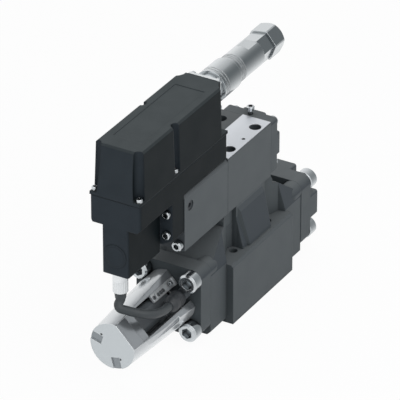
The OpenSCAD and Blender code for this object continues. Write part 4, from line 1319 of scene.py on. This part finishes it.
@dataclass
class SensorCable:
    """The cable from the plug under the box to the moulded plug in the window.

    Args:
        diameter: Its diameter.
        steps: Steps of the smooth line between two points of the route.
        roundness: Resolution of its round outline.
        route: The points that it passes, in millimetres, as the CAD has them.
    """

    diameter: float = 7.1 * MM
    steps: int = 6
    roundness: int = 7
    route: tuple[Point, ...] = (
        (-160, 0, 73), (-160, 0, 72), (-160, 0, 71), (-162.5, 0.5, 68), (-163.5, -1.5, 65.5),
        (-160, -5, 63), (-155.5, -9, 60), (-149.5, -15, 57), (-142, -18.5, 54),
        (-133, -19.5, 51.5), (-127.2, -19.2, 49.9), (-123.1, -18.6, 49.2), (-119, -18, 48.5),
    )

    @property
    def end(self) -> Vector:
        """Return the last point of the route in metres."""
        return Vector(self.route[-1]) * MM

    def curve_point(self, index: int, share: float) -> Vector:
        """Find a point of the smooth line, which passes every point of the route.

        Args:
            index: Number of the point of the route that lies before it.
            share: Share of the way on to the next one.

        Returns:
            The point in metres.
        """
        points = [Vector(point) * MM for point in self.route]
        before, here = points[max(index - 1, 0)], points[index]
        ahead, beyond = points[index + 1], points[min(index + 2, len(points) - 1)]
        return 0.5 * (
            2 * here
            + (ahead - before) * share
            + (2 * before - 5 * here + 4 * ahead - beyond) * share**2
            + (3 * here - before - 3 * ahead + beyond) * share**3
        )

    def build(self) -> bpy.types.Object:
        """Lay the cable.

        Returns:
            The round cable, in place of the CAD one.
        """
        spans = range(len(self.route) - 1)
        shares = [step / self.steps for step in range(self.steps)]
        line = [self.curve_point(index, share) for index in spans for share in shares]
        line.append(self.end)
        data = bpy.data.curves.new("sensor_cable_jacket", "CURVE")
        data.dimensions = "3D"
        data.bevel_depth = self.diameter / 2
        data.bevel_resolution = self.roundness
        data.use_fill_caps = True
        spline = data.splines.new("POLY")
        spline.points.add(len(line) - 1)
        for spot, point in zip(spline.points, line):
            spot.co = (*point, 1.0)
        piece = dress(new_object("sensor_cable_jacket", data), CABLE_RUBBER)
        stand_in(piece, "sensor_cable")
        sum((b - a).length for a, b in zip(line, line[1:]))
        return piece


@dataclass
class SensorPlug:
    """The moulded plug with its round shoulder and grip ribs, where the cable ends.

    Args:
        start: Where the cable enters it.
        end: Where it sits in its socket, in millimetres.
        radius: Radius of the plug.
        mouth: Radius of the edge round the cable, over that of the plug.
        neck: Radius at the foot of the shoulder, over that of the plug.
        lip: Length of the stretch before the shoulder, over that of the plug.
        shoulder: Length of the shoulder over the plug's radius.
        shoulder_steps: Steps of the shoulder's curve.
        grooves: Number of grooves between the grip ribs.
        groove_start: Where the first groove lies, as a share of the plug's length.
        groove_pitch: Distance of two grooves over the plug's length.
        slope: Length of a groove's slope over the plug's length.
        floor: Radius of a groove's floor and of the last edge, over that of the plug.
        last: Where the last chamfer starts, as a share of the plug's length.
    """

    start: Vector
    end: Point = (-98.5, -15, 45)
    radius: float = 6.5 * MM
    mouth: float = 0.62
    neck: float = 0.72
    lip: float = 0.03
    shoulder: float = 0.6
    shoulder_steps: int = 4
    grooves: int = 3
    groove_start: float = 0.5
    groove_pitch: float = 0.12
    slope: float = 0.01
    floor: float = 0.94
    last: float = 0.97

    def outline(self, length: float) -> list[tuple[float, float]]:
        """Work out the plug's outline.

        Args:
            length: Length of the plug.

        Returns:
            Height and radius of each point, from the cable's end.
        """
        points = [(0.0, 0.0), (0.0, self.mouth), (self.lip * length, self.neck)]
        for step in range(1, self.shoulder_steps + 1):
            rise = sin(pi / 2 * step / self.shoulder_steps)
            height = self.lip * length + self.radius * self.shoulder * rise
            points.append((height, self.neck + (1 - self.neck) * rise))
        for groove in range(self.grooves):
            at = self.groove_start + self.groove_pitch * groove
            for slopes, share in ((0, 1.0), (1, self.floor), (3, self.floor), (4, 1.0)):
                points.append(((at + slopes * self.slope) * length, share))
        points += [(self.last * length, 1.0), (length, self.floor), (length, 0.0)]
        return [(height, share * self.radius) for height, share in points]

    def build(self) -> bpy.types.Object:
        """Turn the plug.

        Returns:
            The plug, in place of the CAD one.
        """
        way = Vector(self.end) * MM - self.start
        turn = way.to_track_quat("Z", "Y").to_matrix().to_4x4()
        mesh = bmesh.new()
        add_turned(mesh, self.outline(way.length), Matrix.Translation(self.start) @ turn)
        piece = dress(link_mesh(mesh, "sensor_plug_moulded"), PLUG_RUBBER)
        stand_in(piece, "sensor_plug")
        return piece


@dataclass
class TerminalBracket:
    """The folded bracket in the window, with its web, its terminal block and its little screws.

    Args:
        window: Turn that brings the top of a piece to look out of the window.
        fold_x: Where the fold stands against the end cap.
        length: Length of the foot, from its free end to the fold.
        sides: Its two sides, across the window.
        base: Height of its underside over the axis of the spool.
        foot_t: Thickness of the foot.
        fold_t: Thickness of the fold.
        fold_h: Height of the fold.
        rounding: Radius of the edges of the foot and the fold.
        web_start: Where the web starts, from the free end.
        web_t: Thickness of the web.
        web_h: Height of the web at the fold.
        web_drop: How far its top drops towards the free end.
        web_rounding: Radius of its edges.
        block: Where the block starts and ends, from the free end.
        block_inset: How far it stays in from each side.
        block_h: Its height over the foot.
        block_rounding: Radius of its edges.
        terminals: Number of terminal screws on the block.
        terminal_start: The first one's distance from the start of the block.
        terminal_pitch: Distance of two of them.
        foot_screw: Distance of the foot's own screw from the free end.
        screw_offset: How far the screws sit off the middle between the sides.
        head: Height and radius of each point of a screw's head, in millimetres.
        head_sides: Sides of a screw's head.
    """

    window: Matrix
    fold_x: float
    length: float = 28 * MM
    sides: tuple[float, float] = (4.4 * MM, 11.6 * MM)
    base: float = 8.3 * MM
    foot_t: float = 2.4 * MM
    fold_t: float = 3 * MM
    fold_h: float = 7.6 * MM
    rounding: float = 0.35 * MM
    web_start: float = 12 * MM
    web_t: float = 0.7 * MM
    web_h: float = 4.8 * MM
    web_drop: float = 2.2 * MM
    web_rounding: float = 0.2 * MM
    block: tuple[float, float] = (4 * MM, 16 * MM)
    block_inset: tuple[float, float] = (0.8 * MM, 1.5 * MM)
    block_h: float = 1.4 * MM
    block_rounding: float = 0.3 * MM
    terminals: int = 3
    terminal_start: float = 2.4 * MM
    terminal_pitch: float = 3.6 * MM
    foot_screw: float = 1.9 * MM
    screw_offset: float = 0.3 * MM
    head: tuple[tuple[float, float], ...] = (
        (0, 0), (0, 1.6), (0.8, 1.6), (1.0, 1.35), (1.0, 0.8), (0.7, 0.75), (0.7, 0),
    )
    head_sides: int = 20

    @property
    def free_x(self) -> float:
        """Return where the foot's free end lies."""
        return self.fold_x - self.length

    @property
    def foot_top(self) -> float:
        """Return the height of the foot's top."""
        return self.base + self.foot_t

    def plate(self) -> bpy.types.Object:
        """Build the foot, the fold, the web and the block.

        Returns:
            The bracket, in place of the CAD one.
        """
        x0, x1 = self.free_x, self.fold_x
        y0, y1 = self.sides
        base = self.base
        block_x0, block_x1 = (x0 + along for along in self.block)
        block_top = self.foot_top + self.block_h
        near, far = self.block_inset
        mesh = bmesh.new()
        for low, high, bevel, slope in (
            ((x0, y0, base), (x1, y1, self.foot_top), self.rounding, 0.0),
            ((x1 - self.fold_t, y0, base), (x1, y1, base + self.fold_h), self.rounding, 0.0),
            (
                (x0 + self.web_start, y1 - self.web_t, base),
                (x1, y1, base + self.web_h),
                self.web_rounding,
                self.web_drop,
            ),
            (
                (block_x0, y0 + near, base),
                (block_x1, y1 - far, block_top),
                self.block_rounding,
                0.0,
            ),
        ):
            add_block(mesh, low, high, bevel, slope)
        bmesh.ops.transform(mesh, matrix=self.window, verts=mesh.verts)
        plate = dress(link_mesh(mesh, "sensor_bracket_folded"), TERMINAL_PLATE)
        stand_in(plate, "sensor_bracket")
        return plate

    def screws(self) -> bpy.types.Object:
        """Turn the screws on the block and the one on the foot.

        Returns:
            The screws in one piece.
        """
        first = self.free_x + self.block[0] + self.terminal_start
        y = sum(self.sides) / 2 - self.screw_offset
        top = self.foot_top + self.block_h
        spots = [(first + self.terminal_pitch * k, y, top) for k in range(self.terminals)]
        spots.append((self.free_x + self.foot_screw, y, self.foot_top))
        outline = [(height * MM, radius * MM) for height, radius in self.head]
        mesh = bmesh.new()
        for spot in spots:
            add_turned(mesh, outline, self.window @ Matrix.Translation(spot), self.head_sides)
        heads = dress(link_mesh(mesh, "terminal_screws"), TERMINAL_SCREW)
        stand_in(heads)
        return heads


# Sub-assemblies


@dataclass
class Assembly:
    """A sub-assembly, with CAD nodes that get a finish and pieces that are built anew.

    Args:
        nodes: The CAD nodes by name.
    """

    nodes: CadNodes

    def finishes(self) -> dict[Finish, tuple[str, ...]]:
        """Return the names of its CAD nodes by finish."""
        raise NotImplementedError

    def pieces(self) -> list[bpy.types.Object]:
        """Build its new pieces and return them."""
        raise NotImplementedError

    def build(self) -> list[bpy.types.Object]:
        """Dress the CAD nodes and build the new pieces.

        Returns:
            The new pieces.
        """
        for finish, names in self.finishes().items():
            for name in names:
                dress(self.nodes[name], finish)
        return self.pieces()


@dataclass
class MainStage(Assembly):
    """The main casting with its end caps, screws, spool and springs.

    Args:
        spring_wire: Diameter of the springs' wire.
    """

    spring_wire: float = 2.2 * MM

    def finishes(self) -> dict[Finish, tuple[str, ...]]:
        """List the finishes of the casting, its caps and what lies inside.

        Returns:
            The names of its CAD nodes by finish.
        """
        return {
            MACHINED_CASTING: ("main_body",),
            CASTING: ("front_end_cap", "rear_end_cap"),
            GROUND_STEEL: ("main_spool", "front_spring_seat", "rear_spring_seat"),
            SPRING_STEEL: ("front_spring", "rear_spring"),
            SEAL_RUBBER: ("front_cap_seal", "rear_cap_seal", "port_seals"),
            SCREW_ZINC: ("front_cap_screws", "rear_cap_screws"),
        }

    def pieces(self) -> list[bpy.types.Object]:
        """Build the cap screws and the springs.

        Returns:
            The new pieces.
        """
        wire = self.spring_wire
        return [
            SocketScrews("front_cap_screws", Pointing.FRONT, CAP_SCREW).build(self.nodes),
            SocketScrews("rear_cap_screws", Pointing.REAR, CAP_SCREW).build(self.nodes),
            CoilSpring("front_spring", Body.MAIN_SPOOL, True, wire).build(),
            CoilSpring("rear_spring", Body.MAIN_SPOOL, False, wire).build(),
        ]


@dataclass
class PositionSensor(Assembly):
    """The bright sensor housing with what lies in its window, and the cable up to the box.

    Args:
        spool_z: Height of the spool's axis, round which the window is turned.
        window_tilt: How far the window is turned from the top.
        cap_x: Where the end cap's face lies.
        notch: Where the notches in the housing's end start and stop, from that end.
    """

    spool_z: float = 36 * MM
    window_tilt: float = radians(46)
    cap_x: float = -88 * MM
    notch: tuple[float, float] = (0.7 * MM, 2.4 * MM)

    @property
    def window(self) -> Matrix:
        """Return the turn that brings the top of a piece to look out of the window."""
        turn = Matrix.Rotation(self.window_tilt, 4, "X")
        return Matrix.Translation((0, 0, self.spool_z)) @ turn

    def finishes(self) -> dict[Finish, tuple[str, ...]]:
        """Work out where the housing's notches lie, and list the finishes.

        Returns:
            The names of its CAD nodes by finish.
        """
        end_x = min(vert.co.x for vert in self.nodes["sensor_housing"].data.vertices)
        notch = tuple(end_x + depth for depth in self.notch)
        return {
            replace(BRIGHT_CAST, name="notched aluminium", notch=notch): ("sensor_housing",),
            GROUND_STEEL: ("sensor_tube", "sensor_core_rod"),
            BLACK_PLASTIC: ("sensor_coil", "sensor_socket"),
            TERMINAL_PLATE: ("sensor_bracket",),
            SCREW_ZINC: ("sensor_bracket_screws",),
            PLUG_RUBBER: ("sensor_plug",),
            CABLE_RUBBER: ("sensor_cable", "box_cable_plug"),
            BRIGHT_NUT: ("box_plug_nut",),
            NICKEL: ("box_sensor_socket",),
        }

    def pieces(self) -> list[bpy.types.Object]:
        """Build the cable, its plug, and the bracket with its screws.

        Returns:
            The new pieces.
        """
        cable = SensorCable()
        bracket = TerminalBracket(self.window, self.cap_x)
        return [cable.build(), SensorPlug(cable.end).build(), bracket.plate(), bracket.screws()]


@dataclass
class PilotValve(Assembly):
    """The pilot valve with its rear cover, bare top plate, vent screw and actuator.

    Args:
        spring_wire: Diameter of the spring's wire.
    """

    spring_wire: float = 1.1 * MM

    def finishes(self) -> dict[Finish, tuple[str, ...]]:
        """List the finishes of the pilot valve and its actuator.

        Returns:
            The names of its CAD nodes by finish.
        """
        return {
            MACHINED_PAINT: ("pilot_body", "actuator_housing"),
            CASTING: ("pilot_rear_cover",),
            BARE_PLATE: ("top_plate",),
            BLACK_PLUG: ("actuator_plug",),
            GROUND_STEEL: ("pilot_sleeve", "pilot_spool", "pole_core", "pilot_core_rod"),
            SPRING_STEEL: ("pilot_spring",),
            SEAL_RUBBER: ("pilot_interface_seals",),
            MAGNET: ("magnet_ring",),
            BRIGHT_CAST: ("coil_bobbin",),
            COPPER: ("coil_winding",),
            BLACK_PLASTIC: ("pilot_sensor_coil",),
            SCREW_ZINC: ("pilot_cover_screws", "actuator_screws"),
            SMALL_ZINC: ("pilot_mounting_screws", "vent_screw"),
        }

    def pieces(self) -> list[bpy.types.Object]:
        """Build the spring and the screws.

        Returns:
            The new pieces.
        """
        spring = CoilSpring("pilot_spring", Body.PILOT_SPOOL, False, self.spring_wire).build()
        return [spring] + [
            SocketScrews(node, pointing, PILOT_SCREW, finish).build(self.nodes)
            for node, pointing, finish in (
                ("pilot_cover_screws", Pointing.REAR, SCREW_ZINC),
                ("pilot_mounting_screws", Pointing.UP, SMALL_ZINC),
                ("vent_screw", Pointing.UP, SMALL_ZINC),
                ("actuator_screws", Pointing.FRONT, SCREW_ZINC),
            )
        ]


@dataclass
class ElectronicsBox(Assembly):
    """The electronics box with its cover, gasket, board and screws."""

    def finishes(self) -> dict[Finish, tuple[str, ...]]:
        """List the finishes of the box.

        Returns:
            The names of its CAD nodes by finish.
        """
        return {
            BOX_COAT: ("box_base", "box_cover", "front_plug"),
            BOX_SEAL: ("box_gasket",),
            BOARD: ("circuit_board",),
            SMALL_ZINC: ("cover_screws",),
            SCREW_ZINC: ("flange_screws",),
        }

    def pieces(self) -> list[bpy.types.Object]:
        """Build the screws.

        Returns:
            The new pieces.
        """
        cover = SocketScrews("cover_screws", Pointing.UP, COVER_SCREW, SMALL_ZINC)
        flange = SocketScrews("flange_screws", Pointing.FRONT, FLANGE_SCREW)
        return [cover.build(self.nodes), flange.build(self.nodes)]


@dataclass
class CablePlug(Assembly):
    """The round plug on the box with its receptacle, ring, shell and cable gland."""

    def finishes(self) -> dict[Finish, tuple[str, ...]]:
        """List the finishes of the plug.

        Returns:
            The names of its CAD nodes by finish.
        """
        return {
            BRIGHT_NUT: ("receptacle",),
            BRASS: ("receptacle_pins",),
            SCREW_ZINC: ("receptacle_screws",),
            NICKEL: ("plug_shell", "coupling_ring", "gland_body", "gland_nut"),
            BLACK_PLASTIC: ("plug_insert",),
            SEAL_RUBBER: ("gland_grommet",),
        }

    def pieces(self) -> list[bpy.types.Object]:
        """Build the screws.

        Returns:
            The new pieces.
        """
        screws = SocketScrews("receptacle_screws", Pointing.REAR, RECEPTACLE_SCREW)
        return [screws.build(self.nodes)]


# Studio


@dataclass(frozen=True)
class Lamp:
    """A soft square lamp.

    Args:
        name: Name of the lamp.
        way: Direction from the object to the lamp.
        size: Side of the lamp.
        power: Power in watts.
        tint: Colour of its light.
    """

    name: str
    way: Point
    size: float
    power: float
    tint: Colour = WHITE


@dataclass
class Studio:
    """The pale floor, the soft lights and the camera.

    Args:
        target: The point that the middle of the picture looks at.
        toward_camera: Direction from there to the camera.
        frame_width: Width of the object plane that the picture shows.
        lens: Focal length of the camera in millimetres.
        sensor: Width of its sensor in millimetres.
        view_depth: How far the camera sees, over its distance from the target.
        floor_size: Side of the floor.
        speckle: Size of the speckles in the floor's tone.
        speckle_share: How strongly they show.
        floor_roughness: Roughness of the floor.
        floor_glow: How much of the floor's look is plain white, from 0 to 1.
        world_level: Strength of the even light from all round.
        lamp_distance: Distance of each lamp from the target.
        lamps: The lamps over the near side, overhead and before the sensor's end.
    """

    target: Vector = field(default_factory=lambda: Vector((-39.2, 0, 98.1)) * MM)
    toward_camera: Vector = field(
        default_factory=lambda: Vector((-0.75, -0.433, 0.5)).normalized()
    )
    frame_width: float = 311.3 * MM
    lens: float = 400.0
    sensor: float = 36.0
    view_depth: float = 3.0
    floor_size: float = 8.0
    speckle: float = 40 * MM
    speckle_share: float = 0.2
    floor_roughness: float = 0.9
    floor_glow: float = 0.95
    world_level: float = 0.36
    lamp_distance: float = 1.2
    lamps: tuple[Lamp, ...] = (
        Lamp("key", (-0.25, -0.75, 0.75), 1.1, 5.4, (1.0, 0.99, 0.98)),
        Lamp("top", (0.35, 0.1, 1.0), 1.0, 3.6),
        Lamp("front", (-1.0, -0.05, 0.35), 0.9, 1.5, SKY),
    )

    def add_camera(self) -> None:
        """Add the camera at the photograph's angle, far away with a long lens."""
        data = bpy.data.cameras.new("camera")
        data.lens = self.lens
        data.sensor_width = self.sensor
        distance = self.frame_width * self.lens / self.sensor
        data.clip_end = distance * self.view_depth
        camera = new_object("camera", data)
        camera.location = self.target + self.toward_camera * distance
        camera.rotation_euler = self.toward_camera.to_track_quat("Z", "Y").to_euler()
        bpy.context.scene.camera = camera

    def add_lamp(self, lamp: Lamp) -> None:
        """Add a lamp that looks at the object.

        Args:
            lamp: Its place, size and light.
        """
        data = bpy.data.lights.new(lamp.name, "AREA")
        data.size = lamp.size
        data.energy = lamp.power
        data.color = lamp.tint
        light = new_object(lamp.name, data)
        direction = Vector(lamp.way).normalized()
        light.location = self.target + direction * self.lamp_distance
        light.rotation_euler = direction.to_track_quat("Z", "Y").to_euler()

    def add_world(self) -> None:
        """Light the scene evenly, with a white background for camera, glossy and clear rays."""
        world = bpy.data.worlds.new("studio")
        world.use_nodes = True
        bpy.context.scene.world = world
        tree = Tree(world.node_tree)
        light, white = (
            tree.add("ShaderNodeBackground", inputs={"Color": colour, "Strength": strength})
            for colour, strength in ((SKY, self.world_level), (WHITE, 1.0))
        )
        seen = tree.blend(tree.seen_directly(), light, white)
        tree.add("ShaderNodeOutputWorld", inputs={"Surface": seen})

    def add_floor(self) -> None:
        """Lay the floor, which renders white and keeps a faint shadow of the object."""
        mesh = bmesh.new()
        bmesh.ops.create_grid(mesh, x_segments=1, y_segments=1, size=self.floor_size / 2)
        floor = link_mesh(mesh, "floor")
        graph = Graph("pale floor")
        speckles = graph.noise(self.speckle) * self.speckle_share
        graph.finish(
            {
                "Base Color": graph.mix(speckles, FLOOR_TONE, FLOOR_SPECKLE),
                "Roughness": self.floor_roughness,
                "Specular IOR Level": 0.0,
            }
        )
        glow = graph.add("ShaderNodeEmission", inputs={"Color": WHITE, "Strength": 1.0})
        seen = graph.blend(graph.seen_directly() * self.floor_glow, graph.shader, glow)
        graph.feed(graph.out.inputs["Surface"], seen)
        floor.data.materials.append(graph.material)

    def build(self) -> None:
        """Build the camera, the world, the floor and the lamps."""
        self.add_camera()
        self.add_world()
        self.add_floor()
        for lamp in self.lamps:
            self.add_lamp(lamp)
        bpy.context.scene.view_settings.view_transform = "Standard"


def main() -> None:
    """Load the frame, build each sub-assembly and the studio, and report each piece."""
    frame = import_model()
    for assembly in (MainStage, PositionSensor, PilotValve, ElectronicsBox, CablePlug):
        for piece in assembly(frame["nodes"]).build():
            log.info("%s: %s", assembly.__name__, piece.name)
    Studio().build()


if __name__ == "__main__":
    logging.basicConfig(level=logging.INFO)
    main()
